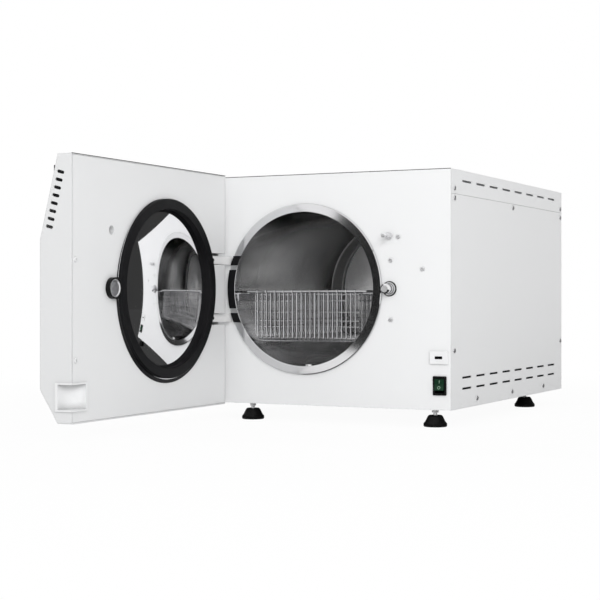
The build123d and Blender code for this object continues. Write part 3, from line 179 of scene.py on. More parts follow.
def make_wear_group():
    """A mask that is strongest where an edge is rubbed, broken up by noise."""
    group, ins, outs = new_group(
        "Rubbed edges", (("Edge Width", FLOAT, 0.8 * MM), ("Amount", FLOAT, 0.4)), ("Mask",))
    rounded = feed(group, add_node(group, "ShaderNodeBevel", samples=3), Radius=ins["Edge Width"])
    true_normal = add_node(group, "ShaderNodeNewGeometry").outputs["Normal"]
    match = calculate_vector(group, "DOT_PRODUCT", rounded.outputs["Normal"], true_normal)
    edge = calculate(group, "SUBTRACT", 1.0, match, clamp=True)
    noise = make_noise(group, object_place(group), Scale=90.0, Detail=4.0)
    broken = calculate(group, "MULTIPLY", edge, noise)
    group.links.new(calculate(group, "MULTIPLY", broken, ins["Amount"], clamp=True), outs["Mask"])
    return group


def make_dust_group():
    """A thin film of dust on what faces up."""
    group, ins, outs = new_group("Settled dust", (("Amount", FLOAT, 0.1),), ("Mask",))
    parts = add_node(group, "ShaderNodeSeparateXYZ")
    group.links.new(add_node(group, "ShaderNodeNewGeometry").outputs["Normal"], parts.inputs[0])
    up = calculate(group, "MAXIMUM", parts.outputs["Z"], 0.0)
    noise = make_noise(group, object_place(group), Scale=25.0, Detail=6.0)
    film = calculate(group, "MULTIPLY", up, noise)
    group.links.new(calculate(group, "MULTIPLY", film, ins["Amount"], clamp=True), outs["Mask"])
    return group


def make_corner_shade_group():
    """A mask of painted shade in inner corners and hollows, taken from ambient occlusion."""
    group, ins, outs = new_group(
        "Painted shade in corners", (("Reach", FLOAT, 12 * MM), ("Amount", FLOAT, 0.5)), ("Mask",))
    hollow = feed(group, add_node(group, "ShaderNodeAmbientOcclusion", samples=6), Distance=ins["Reach"])
    hidden = calculate(group, "SUBTRACT", 1.0, hollow.outputs["AO"], clamp=True)
    group.links.new(calculate(group, "MULTIPLY", hidden, ins["Amount"], clamp=True), outs["Mask"])
    return group


SKIN = make_skin_group()
POLISH = make_polish_group()
TURNED = make_turned_group()
WEAR = make_wear_group()
DUST = make_dust_group()
CORNER_SHADE = make_corner_shade_group()


def place_group(tree, group, **inputs):
    return feed(tree, add_node(tree, "ShaderNodeGroup", node_tree=group), **inputs)


# Finishes
FOLD_RADIUS = 1.2 * MM
COAT_DEPTH = 0.03 * MM
# Painted shade in inner corners: how strongly it darkens the coats
COAT_SHADE = 0.35
MOULD_DEPTH = 0.02 * MM
# Painted shade in inner corners: how far it reaches, and its colour
SHADE_REACH = 11 * MM
SHADE_COLOUR = (0.2, 0.2, 0.2)
BARE_SHEET = (0.55, 0.55, 0.56)
SHEET_DUST = (0.6, 0.58, 0.55)
PLASTIC_DUST = (0.35, 0.34, 0.32)
TURNED_CIRCLES = 1800.0
# How much of a rolled metal's change of roughness comes from its patches, and how much from its lines
PATCH_SHARE = 0.6
LINE_SHARE = 0.4
# How far a track of the circuit board reaches from the edge of its cell, as a share of the cell
TRACK_REACH = 0.08
ALL_WAYS = (900.0, 900.0, 900.0)


def blend_colours(tree, mask, below, above):
    node = add_node(tree, "ShaderNodeMix", data_type="RGBA")
    tree.links.new(mask, node.inputs["Factor"])
    for socket, value in zip((node.inputs[6], node.inputs[7]), (below, above)):
        join(tree, socket, (*value, 1.0) if isinstance(value, tuple) else value)
    return node.outputs[2]


def toned(tree, mask, colour, darkest, palest):
    """The colour times darkest where the mask is 0, and times palest where it is 1."""
    below, above = (tuple(channel * factor for channel in colour) for factor in (darkest, palest))
    return blend_colours(tree, mask, below, above)


def new_material(name):
    material = bpy.data.materials.new(name)
    material.use_nodes = True
    tree = material.node_tree
    return material, tree, tree.nodes["Principled BSDF"]


def coated_finish(name, colour, roughness=0.42, wear=0.2, dust=0.05):
    """Powder-coated sheet metal, whose folds catch the light."""
    material, tree, surface = new_material(name)
    skin = place_group(tree, SKIN, Dimple_Size=1.1, Blotch_Size=110.0)
    rubbed = place_group(tree, WEAR, Edge_Width=0.7 * MM, Amount=wear)
    film = place_group(tree, DUST, Amount=dust)
    # Painted shade: the coat is darker in inner corners and hollows, where shade falls
    corners = place_group(tree, CORNER_SHADE, Reach=SHADE_REACH, Amount=COAT_SHADE)
    paint = toned(tree, skin.outputs["Tone"], colour, darkest=0.985, palest=1.0)
    worn = blend_colours(tree, rubbed.outputs["Mask"], paint, BARE_SHEET)
    dusty = blend_colours(tree, film.outputs["Mask"], worn, SHEET_DUST)
    with_painted_shade = blend_colours(tree, corners.outputs["Mask"], dusty, SHADE_COLOUR)
    folds = feed(tree, add_node(tree, "ShaderNodeBevel", samples=4), Radius=FOLD_RADIUS)
    feed(tree, surface, Base_Color=with_painted_shade,
         Normal=bump(tree, skin.outputs["Height"], COAT_DEPTH, folds.outputs["Normal"]),
         Roughness=uneven(tree, skin.outputs["Tone"], roughness, smoother=0.05, rougher=0.06))
    return material


def moulded_finish(name, colour, roughness, dimple=0.5, pale=0.12, dust=0.06, shine=0.5, painted_shade=0.0):
    """Moulded plastic or rubber, a little paler where its edges are rubbed."""
    material, tree, surface = new_material(name)
    skin = place_group(tree, SKIN, Dimple_Size=dimple, Blotch_Size=35.0)
    rubbed = place_group(tree, WEAR, Edge_Width=0.6 * MM, Amount=0.6)
    film = place_group(tree, DUST, Amount=dust)
    base = toned(tree, skin.outputs["Tone"], colour, darkest=0.9, palest=1.08)
    lighter = tuple(channel + (1.0 - channel) * pale for channel in colour)
    edged = blend_colours(tree, rubbed.outputs["Mask"], base, lighter)
    shown = blend_colours(tree, film.outputs["Mask"], edged, PLASTIC_DUST)
    # Painted shade: the plastic is darker in inner corners and hollows, where shade falls
    if painted_shade:
        corners = place_group(tree, CORNER_SHADE, Reach=SHADE_REACH, Amount=painted_shade)
        shown = blend_colours(tree, corners.outputs["Mask"], shown, SHADE_COLOUR)
    feed(tree, surface, Base_Color=shown, Specular_IOR_Level=shine,
         Normal=bump(tree, skin.outputs["Height"], MOULD_DEPTH),
         Roughness=uneven(tree, skin.outputs["Tone"], roughness, smoother=0.06, rougher=0.08))
    return material


def rolled_finish(name, colour, roughness, lines=(40.0, 2500.0, 2500.0), depth=0.004 * MM, change=0.1,
                  metallic=1.0):
    """Metal with straight rolling or polishing lines, or scratched all ways where lines are alike."""
    material, tree, surface = new_material(name)
    polish = place_group(tree, POLISH, Lines_per_Metre=lines, Patch_Size=45.0)
    tone = toned(tree, polish.outputs["Patches"], colour, darkest=0.92, palest=1.05)
    patches = calculate(tree, "MULTIPLY", polish.outputs["Patches"], PATCH_SHARE)
    scratched = calculate(tree, "MULTIPLY_ADD", polish.outputs["Lines"], LINE_SHARE, patches)
    feed(tree, surface, Base_Color=tone, Metallic=metallic, Normal=bump(tree, polish.outputs["Lines"], depth),
         Roughness=uneven(tree, scratched, roughness, smoother=change, rougher=change))
    return material


def turned_finish(name, colour, roughness, axis_point, across, depth, change):
    """Metal turned or polished in circles round an axis."""
    material, tree, surface = new_material(name)
    rings = place_group(tree, TURNED, Axis_Point=axis_point, Across=across, Circles_per_Metre=TURNED_CIRCLES)
    skin = place_group(tree, SKIN, Dimple_Size=6.0, Blotch_Size=45.0)
    tone = toned(tree, skin.outputs["Tone"], colour, darkest=0.95, palest=1.03)
    feed(tree, surface, Base_Color=tone, Metallic=1.0, Normal=bump(tree, rings.outputs["Circles"], depth),
         Roughness=uneven(tree, skin.outputs["Tone"], roughness, smoother=change, rougher=change))
    return material


def chamber_finish(name, colour, roughness, ripple, groove, metallic=1.0):
    """Chamber steel: polished round its bore, with clouds left by many boilings."""
    material, tree, surface = new_material(name)
    polish = place_group(tree, POLISH, Lines_per_Metre=(8.0, 900.0, 8.0), Patch_Size=38.0)
    clouds = place_group(tree, SKIN, Dimple_Size=14.0, Blotch_Size=70.0)
    tone = toned(tree, clouds.outputs["Tone"], colour, darkest=0.85, palest=1.08)
    patches = calculate(tree, "MULTIPLY", polish.outputs["Patches"], clouds.outputs["Tone"])
    rippled = bump(tree, clouds.outputs["Height"], ripple)
    feed(tree, surface, Base_Color=tone, Metallic=metallic,
         Normal=bump(tree, polish.outputs["Lines"], groove, rippled),
         Roughness=uneven(tree, patches, roughness, smoother=0.02, rougher=0.06))
    return material


def wool_finish(name, colour):
    """Mineral wool: long fibres lying across each other."""
    material, tree, surface = new_material(name)
    fibres = place_group(tree, POLISH, Lines_per_Metre=(400.0, 1400.0, 600.0), Patch_Size=20.0)
    tone = toned(tree, fibres.outputs["Lines"], colour, darkest=0.7, palest=1.15)
    feed(tree, surface, Base_Color=tone, Roughness=0.95,
         Normal=bump(tree, fibres.outputs["Lines"], depth=0.6 * MM))
    return material


def board_finish(name, colour):
    """A circuit board: dark tracks in a grid under the lacquer."""
    material, tree, surface = new_material(name)
    cells = add_node(tree, "ShaderNodeTexVoronoi", distance="CHEBYCHEV", feature="DISTANCE_TO_EDGE")
    feed(tree, cells, Vector=object_place(tree), Scale=140.0)
    tracks = calculate(tree, "LESS_THAN", cells.outputs["Distance"], TRACK_REACH)
    tone = toned(tree, tracks, colour, darkest=1.0, palest=1.9)
    feed(tree, surface, Base_Color=tone, Roughness=spread(tree, tracks, low=0.3, high=0.4),
         Normal=bump(tree, tracks, depth=0.03 * MM))
    return material


def rocker_finish(name, colour):
    """The rocker: deep green plastic with a lamp under it, switched off."""
    material, tree, surface = new_material(name)
    skin = place_group(tree, SKIN, Dimple_Size=0.7, Blotch_Size=9.0)
    tone = toned(tree, skin.outputs["Tone"], colour, darkest=0.7, palest=1.5)
    feed(tree, surface, Base_Color=tone, Normal=bump(tree, skin.outputs["Height"], depth=0.01 * MM),
         Roughness=spread(tree, skin.outputs["Tone"], low=0.18, high=0.3), Specular_IOR_Level=0.15,
         Coat_Weight=0.08, Coat_Roughness=0.08)
    return material


def glass_finish(name, colour):
    """The tinted window over the display."""
    material, tree, surface = new_material(name)
    skin = place_group(tree, SKIN, Dimple_Size=9.0, Blotch_Size=40.0)
    tone = toned(tree, skin.outputs["Tone"], colour, darkest=0.85, palest=1.1)
    feed(tree, surface, Base_Color=tone, Roughness=spread(tree, skin.outputs["Tone"], low=0.02, high=0.06),
         Transmission_Weight=0.35, IOR=1.49)
    return material


def middle_of(node):
    """The middle of a node's box."""
    low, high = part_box(node)
    return (low + high) / 2


lid_middle = middle_of("lid_gasket")
WHITE = (0.86, 0.865, 0.87)

# The finish of each material slot in the record
FINISHES = {
    "white_paint": coated_finish("white powder coat", WHITE),
    "door_white": coated_finish("door plate coat", (0.8, 0.805, 0.81), roughness=0.36),
    # This plastic gets painted shade in its inner corners
    "white_plastic": moulded_finish("white plastic", WHITE, roughness=0.3, pale=0.3, dust=0.03, painted_shade=0.5),
    "black_rubber": moulded_finish("black silicone", (0.007, 0.007, 0.008), roughness=0.42, dimple=1.4,
                                   pale=0.03, dust=0.0, shine=0.12),
    "dark_trim": moulded_finish("dark trim", (0.008, 0.008, 0.009), roughness=0.4, pale=0.05, dust=0.0,
                                shine=0.2),
    "black_plastic": moulded_finish("black plastic", (0.006, 0.006, 0.006), roughness=0.36, pale=0.05,
                                    dust=0.01, shine=0.12),
    "mirror_steel": rolled_finish("mirror steel", (0.74, 0.74, 0.75), roughness=0.09, depth=0.0005 * MM,
                                  change=0.04),
    "polished_steel": rolled_finish("polished steel", (0.6, 0.6, 0.61), roughness=0.2),
    "wire_steel": rolled_finish("wire steel", (0.66, 0.66, 0.67), roughness=0.2, lines=(600.0, 600.0, 600.0)),
    "zinc": rolled_finish("zinc plate", (0.88, 0.88, 0.89), roughness=0.48, lines=ALL_WAYS),
    "green_plastic": rocker_finish("green rocker plastic", (0.004, 0.026, 0.011)),
    "sheet_steel": rolled_finish("galvanised sheet", (0.5, 0.51, 0.52), roughness=0.42,
                                 lines=(120.0, 160.0, 140.0), depth=0.01 * MM),
    "aluminium": rolled_finish("bare aluminium", (0.6, 0.61, 0.62), roughness=0.4,
                               lines=(700.0, 700.0, 700.0), depth=0.01 * MM),
    "copper": rolled_finish("drawn copper", (0.72, 0.4, 0.24), roughness=0.28),
    "wool": wool_finish("insulation wool", (0.7, 0.68, 0.62)),
    "heater_rubber": moulded_finish("heater mat", (0.45, 0.16, 0.08), roughness=0.5, dimple=2.0),
    "board_green": board_finish("circuit board", (0.02, 0.16, 0.06)),
    "tank_plastic": moulded_finish("milky tank plastic", (0.72, 0.75, 0.77), roughness=0.4, pale=0.3),
    "window_glass": glass_finish("tinted window", (0.03, 0.045, 0.06)),
    "key_grey": moulded_finish("key grey", (0.36, 0.38, 0.4), roughness=0.45, pale=0.25)}

# Finishes of single pieces, whose slot's own finish isn't close enough
mark_pale = moulded_finish("pale marking", (0.22, 0.34, 0.24), roughness=0.4, pale=0.2)
mirror_lid = turned_finish("mirror steel lid", (0.92, 0.92, 0.93), roughness=0.03, axis_point=lid_middle,
                           across=(0.0, 1.0, 1.0), depth=0.0002 * MM, change=0.015)
ring_steel = turned_finish("turned ring steel", (0.76, 0.76, 0.77), roughness=0.1,
                           axis_point=middle_of("chamber_ring"), across=(1.0, 0.0, 1.0), depth=0.002 * MM,
                           change=0.03)
chamber_steel = chamber_finish("chamber steel", (0.93, 0.93, 0.93), roughness=0.07, ripple=0.0015 * MM,
                               groove=0.13 * MM)
dish_steel = chamber_finish("chamber dish steel", (0.62, 0.62, 0.62), roughness=0.24, ripple=0.004 * MM,
                            groove=0.004 * MM)
band_steel = chamber_finish("scaled chamber steel", (0.8, 0.8, 0.8), roughness=0.4, ripple=0.004 * MM,
                            groove=0.004 * MM, metallic=0.3)
cup_steel = rolled_finish("brushed latch steel", (0.84, 0.84, 0.85), roughness=0.34,
                          lines=(300.0, 1500.0, 1500.0), change=0.06)

SPECIAL = {
    # A darker copy of the white coat: painted shade on the door's shaded free edge
    "door_cover": coated_finish("door cover coat with painted shade", (0.73, 0.735, 0.74)),
    # A darker copy of the white plastic with strong corner darkening: painted shade in and around the scoop
    # of the pull
    "finger_pull": moulded_finish("finger pull plastic with painted shade", (0.82, 0.825, 0.83), roughness=0.3, pale=0.3,
                                  dust=0.0, painted_shade=0.9),
    "sensor_plunger": rolled_finish("plunger steel", (0.88, 0.88, 0.89), roughness=0.3,
                                    lines=(700.0, 700.0, 700.0)),
    # Paler than the other white coats: painted highlight for the glare on the hinge arms
    "hinge_arms": coated_finish("hinge arm coat with painted glare", (0.98, 0.98, 0.98), roughness=0.25, wear=0.0, dust=0.0),
    "latch_cup": cup_steel,
    "lock_pin": rolled_finish("lock pin steel", (0.84, 0.84, 0.85), roughness=0.14),
    "lid_disc": mirror_lid,
    "chamber_ring": ring_steel,
    "chamber_vessel": chamber_steel,
    "chamber_strainer": chamber_steel,
    "foot_studs": rolled_finish("pale zinc stud", (0.97, 0.97, 0.97), roughness=0.5, lines=ALL_WAYS,
                                metallic=0.3)}

slot_of = {row["node"]: row["material_slot"] for row in frame["record"]["subparts"]}
for node_name, shape in frame["nodes"].items():
    finish = SPECIAL.get(node_name, FINISHES[slot_of[node_name]])
    for slot in shape.material_slots:
        slot.material = finish

# Making pieces
CREASE_DEGREES = 35.0
ROUND_STEPS = 256
DOME_STEPS = 48
BEND_STEPS = 5
WIRE_SIDES = 8
ON_AXIS = 1e-7
BOX_FACES = ((0, 1, 3, 2), (4, 6, 7, 5), (0, 4, 5, 1), (2, 3, 7, 6), (0, 2, 6, 4), (1, 5, 7, 3))
ALONG_X = Vector((1, 0, 0))
ALONG_Y = Vector((0, 1, 0))


def mesh_from(name, points, faces):
    mesh = bpy.data.meshes.new(name)
    mesh.from_pydata([tuple(point) for point in points], [], faces)
    mesh.update()
    return mesh


def add_piece(mesh, body, slot, replaced=(), finish=None, crease=CREASE_DEGREES):
    """A piece named like its mesh, in its slot's finish unless another is given."""
    mesh.validate()
    mesh.shade_smooth()
    mesh.set_sharp_from_angle(angle=radians(crease))
    mesh.materials.append(FINISHES[slot] if finish is None else finish)
    piece = bpy.data.objects.new(mesh.name, mesh)
    bpy.context.scene.collection.objects.link(piece)
    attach(piece, body)
    if replaced:
        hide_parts(*replaced)


def face_outwards(mesh):
    """Turns all faces of closed forms outwards."""
    builder = bmesh.new()
    builder.from_mesh(mesh)
    bmesh.ops.recalc_face_normals(builder, faces=builder.faces)
    builder.to_mesh(mesh)
    builder.free()


def on_axis_y(low, high):
    """A point on the line along y through the middle of a box."""
    return Vector(((low.x + high.x) / 2, 0.0, (low.z + high.z) / 2))


def turned_mesh(name, outline, middle, along, steps=ROUND_STEPS):
    """A closed outline of radius and distance along an axis, turned round it."""
    side = along.orthogonal().normalized()
    other = along.cross(side)
    points, faces, rings = [], [], []
    for radius, distance in outline:
        centre = middle + along * distance
        if radius < ON_AXIS:
            rings.append([len(points)] * steps)
            points.append(centre)
            continue
        rings.append(list(range(len(points), len(points) + steps)))
        for step in range(steps):
            angle = 2 * pi * step / steps
            points.append(centre + (side * cos(angle) + other * sin(angle)) * radius)
    for index, here in enumerate(rings):
        there = rings[(index + 1) % len(rings)]
        for step in range(steps):
            after = (step + 1) % steps
            face = tuple(dict.fromkeys((here[step], here[after], there[after], there[step])))
            if len(face) > 2:
                faces.append(face)
    return mesh_from(name, points, faces)


def mesh_of_boxes(name, boxes):
    """Boxes, each given by its lowest and highest corner."""
    points, faces = [], []
    for low, high in boxes:
        start = len(points)
        points += [(x, y, z) for x in (low[0], high[0]) for y in (low[1], high[1]) for z in (low[2], high[2])]
        faces += [tuple(start + corner for corner in face) for face in BOX_FACES]
    return mesh_from(name, points, faces)


def rounded_path(points, radius, closed=False):
    """A run of straight lines with its corners rounded."""
    count = len(points)
    path = []
    for index in range(count):
        here = Vector(points[index])
        if not closed and index in (0, count - 1):
            path.append(here)
            continue
        before = Vector(points[index - 1]) - here
        after = Vector(points[(index + 1) % count]) - here
        reach = min(radius, before.length / 2, after.length / 2)
        start, end = here + before.normalized() * reach, here + after.normalized() * reach
        for step in range(BEND_STEPS + 1):
            share = step / BEND_STEPS
            path.append(start * (1 - share) ** 2 + here * 2 * share * (1 - share) + end * share ** 2)
    return path


def add_wire(points, faces, path, radius, sides=WIRE_SIDES, closed=False):
    """A round wire along a path, with closed ends."""
    count = len(path)
    start = len(points)
    normal = None
    for index, place in enumerate(path):
        before = path[index - 1] if index or closed else place
        after = path[(index + 1) % count] if index < count - 1 or closed else place
        tangent = (after - before).normalized()
        normal = tangent.orthogonal() if normal is None else normal - tangent * normal.dot(tangent)
        normal.normalize()
        other = tangent.cross(normal)
        for side in range(sides):
            angle = 2 * pi * side / sides
            points.append(place + (normal * cos(angle) + other * sin(angle)) * radius)
    for index in range(count if closed else count - 1):
        here = start + index * sides
        there = start + ((index + 1) % count) * sides
        for side in range(sides):
            after = (side + 1) % sides
            faces.append((here + side, here + after, there + after, there + side))
    if not closed:
        faces.append(tuple(start + side for side in reversed(range(sides))))
        faces.append(tuple(start + (count - 1) * sides + side for side in range(sides)))


# The lid: a shallow dome, polished to a mirror, on a boss and a stud
LID_RECESS = 8.7 * MM
LID_DOME = 16 * MM
LID_THICK = 6 * MM
LID_STUD = 8 * MM
LID_BOSS = 22 * MM
LID_BOSS_LENGTH = 14 * MM


def make_lid():
    low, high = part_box("lid_disc")
    gasket_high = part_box("lid_gasket")[1]
    middle = Vector(((low.x + high.x) / 2, lid_middle.y, lid_middle.z))
    radius = (high.z - low.z) / 2
    rim = gasket_high.x - LID_RECESS
    back = rim - LID_THICK
    curve = (radius ** 2 + LID_DOME ** 2) / (2 * LID_DOME)
    outline = [(0.0, low.x), (LID_STUD, low.x), (LID_STUD, back - LID_BOSS_LENGTH),
               (LID_BOSS, back - LID_BOSS_LENGTH), (LID_BOSS, back), (radius, back)]
    for step in range(DOME_STEPS + 1):
        across = radius * (1 - step / DOME_STEPS)
        outline.append((across, rim + LID_DOME - curve + sqrt(curve ** 2 - across ** 2)))
    outline = [(across, x - middle.x) for across, x in outline]
    add_piece(turned_mesh("lid_mirror", outline, middle, ALONG_X), "door", "mirror_steel", ("lid_disc",),
              mirror_lid)


# The basket's wires
WIRE_RADIUS = 0.9 * MM
WIRE_PITCH = 7.9 * MM
WIRE_BEND = 5 * MM
BASKET_BEND = 19 * MM
LOOP_DROPS = (0.04, 0.17, 0.4, 0.58, 0.7, 0.93)
HOOK_ROD = 1.5 * MM
HOOK_OUT = 2.6 * MM
HOOK_RISE = 1.1 * MM
HOOK_DROP = 4 * MM
HOOK_RADIUS = 0.9 * MM
HOOK_SIDES = 6


def corner_rise(away):
    """How far the rounded lower corner of the net lies in, at a distance from one of its two sides."""
    if away >= BASKET_BEND:
        return 0.0
    share = 1 - sqrt(away / BASKET_BEND)
    return BASKET_BEND * share ** 2


def wire_middle_and_half():
    """The middle of the basket's width, and how far from it the outermost wires run."""
    low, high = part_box("basket_ends")
    return (low.x + high.x) / 2, (high.x - low.x) / 2 - WIRE_RADIUS


def make_basket():
    """The wires that run across the basket, those along it, and the loops inside them."""
    ends_low, ends_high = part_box("basket_ends")
    floor_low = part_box("basket_floor")[0]
    middle_x, half_top = wire_middle_and_half()
    top, bottom = ends_high.z, floor_low.z + WIRE_RADIUS
    front, back = ends_low.y + WIRE_RADIUS, ends_high.y - WIRE_RADIUS
    inner = 2 * WIRE_RADIUS

    points, faces = [], []
    count = round((back - front) / WIRE_PITCH)
    for step in range(1, count):
        y = front + (back - front) * step / count
        corners = [(middle_x - half_top, y, top), (middle_x - half_top, y, bottom),
                   (middle_x + half_top, y, bottom), (middle_x + half_top, y, top)]
        add_wire(points, faces, rounded_path(corners, BASKET_BEND), WIRE_RADIUS)
    add_piece(mesh_from("basket_cross_wires", points, faces), "basket", "wire_steel",
              ("basket_sides", "basket_floor"))

    points, faces = [], []
    count = round(2 * half_top / WIRE_PITCH)
    for step in range(1, count):
        away = half_top * (2 * step / count - 1)
        x, floor = middle_x + away, bottom + inner + corner_rise(half_top - abs(away))
        corners = [(x, front, top), (x, front, floor), (x, back, floor), (x, back, top)]
        add_wire(points, faces, rounded_path(corners, WIRE_BEND), WIRE_RADIUS)
    add_piece(mesh_from("basket_long_wires", points, faces), "basket", "wire_steel", ("basket_ends",))

    points, faces = [], []
    for drop in LOOP_DROPS:
        z = top + (bottom - top) * drop
        half = half_top - inner - corner_rise(z - bottom)
        corners = [(middle_x - half, front + inner, z), (middle_x + half, front + inner, z),
                   (middle_x + half, back - inner, z), (middle_x - half, back - inner, z)]
        add_wire(points, faces, rounded_path(corners, WIRE_BEND, closed=True), WIRE_RADIUS, closed=True)
    add_piece(mesh_from("basket_loops", points, faces), "basket", "wire_steel")


def make_rim_hooks():
    """The ends of the net's wires, turned over the front and back of the basket's rim."""
    low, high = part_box("basket_rim")
    middle_x, half_top = wire_middle_and_half()
    count = round(2 * half_top / WIRE_PITCH)
    foot, crest = high.z - HOOK_DROP, high.z + HOOK_RISE
    points, faces = [], []
    for step in range(1, count, 2):
        x = middle_x + half_top * (2 * step / count - 1)
        for rod in (low.y + HOOK_ROD, high.y - HOOK_ROD):
            corners = [(x, rod - HOOK_OUT, foot), (x, rod - HOOK_OUT, crest), (x, rod + HOOK_OUT, crest),
                       (x, rod + HOOK_OUT, foot)]
            add_wire(points, faces, rounded_path(corners, HOOK_OUT), HOOK_RADIUS, HOOK_SIDES)
    add_piece(mesh_from("rim_hooks", points, faces), "basket", "wire_steel")


# Pan head screws with a cross recess. HEAD_ROUND is the share of a head's height that is rounded
SHANK_RADIUS = 1.6 * MM
HEAD_HEIGHT = 1.8 * MM
HEAD_ROUND = 0.62
HEAD_ROUND_STEPS = 4
HEAD_STEPS = 24
RECESS_ARM = 2.1 * MM
RECESS_HALF = 0.45 * MM
RECESS_DEPTH = 1.1 * MM
RECESS_TAPER = 0.55
WELD = 0.01 * MM


def add_screw(points, faces, seat, outwards, radius, length):
    """One screw: seat is the middle of the face that the head sits on."""
    side = outwards.orthogonal().normalized()
    other = outwards.cross(side)

    def place(x, y, z):
        return seat + side * x + other * y + outwards * z

    rounding = HEAD_HEIGHT * HEAD_ROUND
    wall_top = HEAD_HEIGHT - rounding
    rings = [(SHANK_RADIUS, -length), (SHANK_RADIUS, 0.0), (radius, 0.0), (radius, wall_top)]
    for step in range(1, HEAD_ROUND_STEPS + 1):
        angle = pi / 2 * step / HEAD_ROUND_STEPS
        rings.append((radius - rounding * (1 - cos(angle)), wall_top + rounding * sin(angle)))
    base = len(points)
    for ring_radius, z in rings:
        for step in range(HEAD_STEPS):
            angle = 2 * pi * step / HEAD_STEPS
            points.append(place(ring_radius * cos(angle), ring_radius * sin(angle), z))
    for ring in range(len(rings) - 1):
        here, there = base + ring * HEAD_STEPS, base + (ring + 1) * HEAD_STEPS
        for step in range(HEAD_STEPS):
            after = (step + 1) % HEAD_STEPS
            faces.append((here + step, here + after, there + after, there + step))
    faces.append(tuple(base + step for step in reversed(range(HEAD_STEPS))))

    mouth = []
    for turn in range(4):
        angle = turn * pi / 2
        for x, y in ((RECESS_ARM, -RECESS_HALF), (RECESS_ARM, RECESS_HALF), (RECESS_HALF, RECESS_HALF)):
            mouth.append((x * cos(angle) - y * sin(angle), x * sin(angle) + y * cos(angle)))
    corners = len(mouth)
    mouth_start = len(points)
    points.extend(place(x, y, HEAD_HEIGHT) for x, y in mouth)
    floor_start = len(points)
    points.extend(place(x * RECESS_TAPER, y * RECESS_TAPER, HEAD_HEIGHT - RECESS_DEPTH) for x, y in mouth)
    for step in range(corners):
        after = (step + 1) % corners
        faces.append((mouth_start + step, mouth_start + after, floor_start + after, floor_start + step))
    faces.append(tuple(floor_start + step for step in range(corners)))

    # The top of the head, a quarter turn at a time, between its rim and the recess
    top = base + (len(rings) - 1) * HEAD_STEPS
    per_turn = HEAD_STEPS // 4
    for turn in range(4):
        arm = [mouth_start + (turn * 3 + offset) % corners for offset in range(4)]
        rim = [top + (turn * per_turn + offset) % HEAD_STEPS for offset in range(per_turn + 1)]
        faces.append((rim[0], rim[1], arm[1], arm[0]))
        faces.append((arm[1], rim[1], rim[2], rim[3], arm[2]))
        faces.append((arm[2], rim[3], rim[4], rim[5], arm[3]))
        faces.append((arm[3], rim[5], rim[6]))


def separate_boxes(node):
    """Boxes round the separate solids of a node."""
    mesh = frame["nodes"][node].data
    places = {}
    owner = []
    for vertex in mesh.vertices:
        key = tuple(round(value / WELD) for value in vertex.co)
        owner.append(places.setdefault(key, vertex.index))
    parent = list(range(len(owner)))

    def root(index):
        while parent[index] != index:
            parent[index] = parent[parent[index]]
            index = parent[index]
        return index

    for polygon in mesh.polygons:
        first = root(owner[polygon.vertices[0]])
        for corner in polygon.vertices[1:]:
            parent[root(owner[corner])] = first
    boxes = {}
    for vertex in mesh.vertices:
        low, high = boxes.setdefault(root(owner[vertex.index]), (vertex.co.copy(), vertex.co.copy()))
        for axis in range(3):
            low[axis] = min(low[axis], vertex.co[axis])
            high[axis] = max(high[axis], vertex.co[axis])
    return list(boxes.values())


def make_screws(name, node, body, slot):
    """Screws with a cross recess, one in the place of each plain solid of the node."""
    points, faces = [], []
    for low, high in separate_boxes(node):
        size, middle = high - low, (low + high) / 2
        if size.y < size.x and size.y < size.z:
            outwards, head = Vector((0, -1, 0)), Vector((middle.x, low.y, middle.z))
            depth, radius = size.y, size.x / 2
        else:
            sign = 1 if middle.x > 0 or body == "door" else -1
            outwards = Vector((sign, 0, 0))
            head = Vector((high.x if sign > 0 else low.x, middle.y, middle.z))
            depth, radius = size.x, size.z / 2
        add_screw(points, faces, head - outwards * HEAD_HEIGHT, outwards, radius, depth - HEAD_HEIGHT)
    mesh = mesh_from(name, points, faces)
    face_outwards(mesh)
    add_piece(mesh, body, slot, (node,))


# The rocker's two marks, laid on its hollow face: a bar above and a ring below. RING_INNER and RING_OUTER are
# half of the ring's width and half of its height
FRONT_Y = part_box("front_panel")[0].y
ROCKER_PIVOT_Y = FRONT_Y + 4 * MM
ROCKER_PIVOT_Z = middle_of("switch_frame").z
ROCKER_DEEP_Y = FRONT_Y - 3.6 * MM
ROCKER_DISH = 30 * MM
ROCKER_TILT = radians(-12)
MARK_OFFSET = 4.6 * MM
MARK_LIFT = 0.06 * MM
MARK_THICK = 0.18 * MM
BAR_HALF_WIDTH = 0.5 * MM
BAR_HALF_LENGTH = 2.2 * MM
BAR_STEPS = 6
RING_INNER = (1.6 * MM, 1.7 * MM)
RING_OUTER = (2.5 * MM, 2.6 * MM)
RING_STEPS = 32


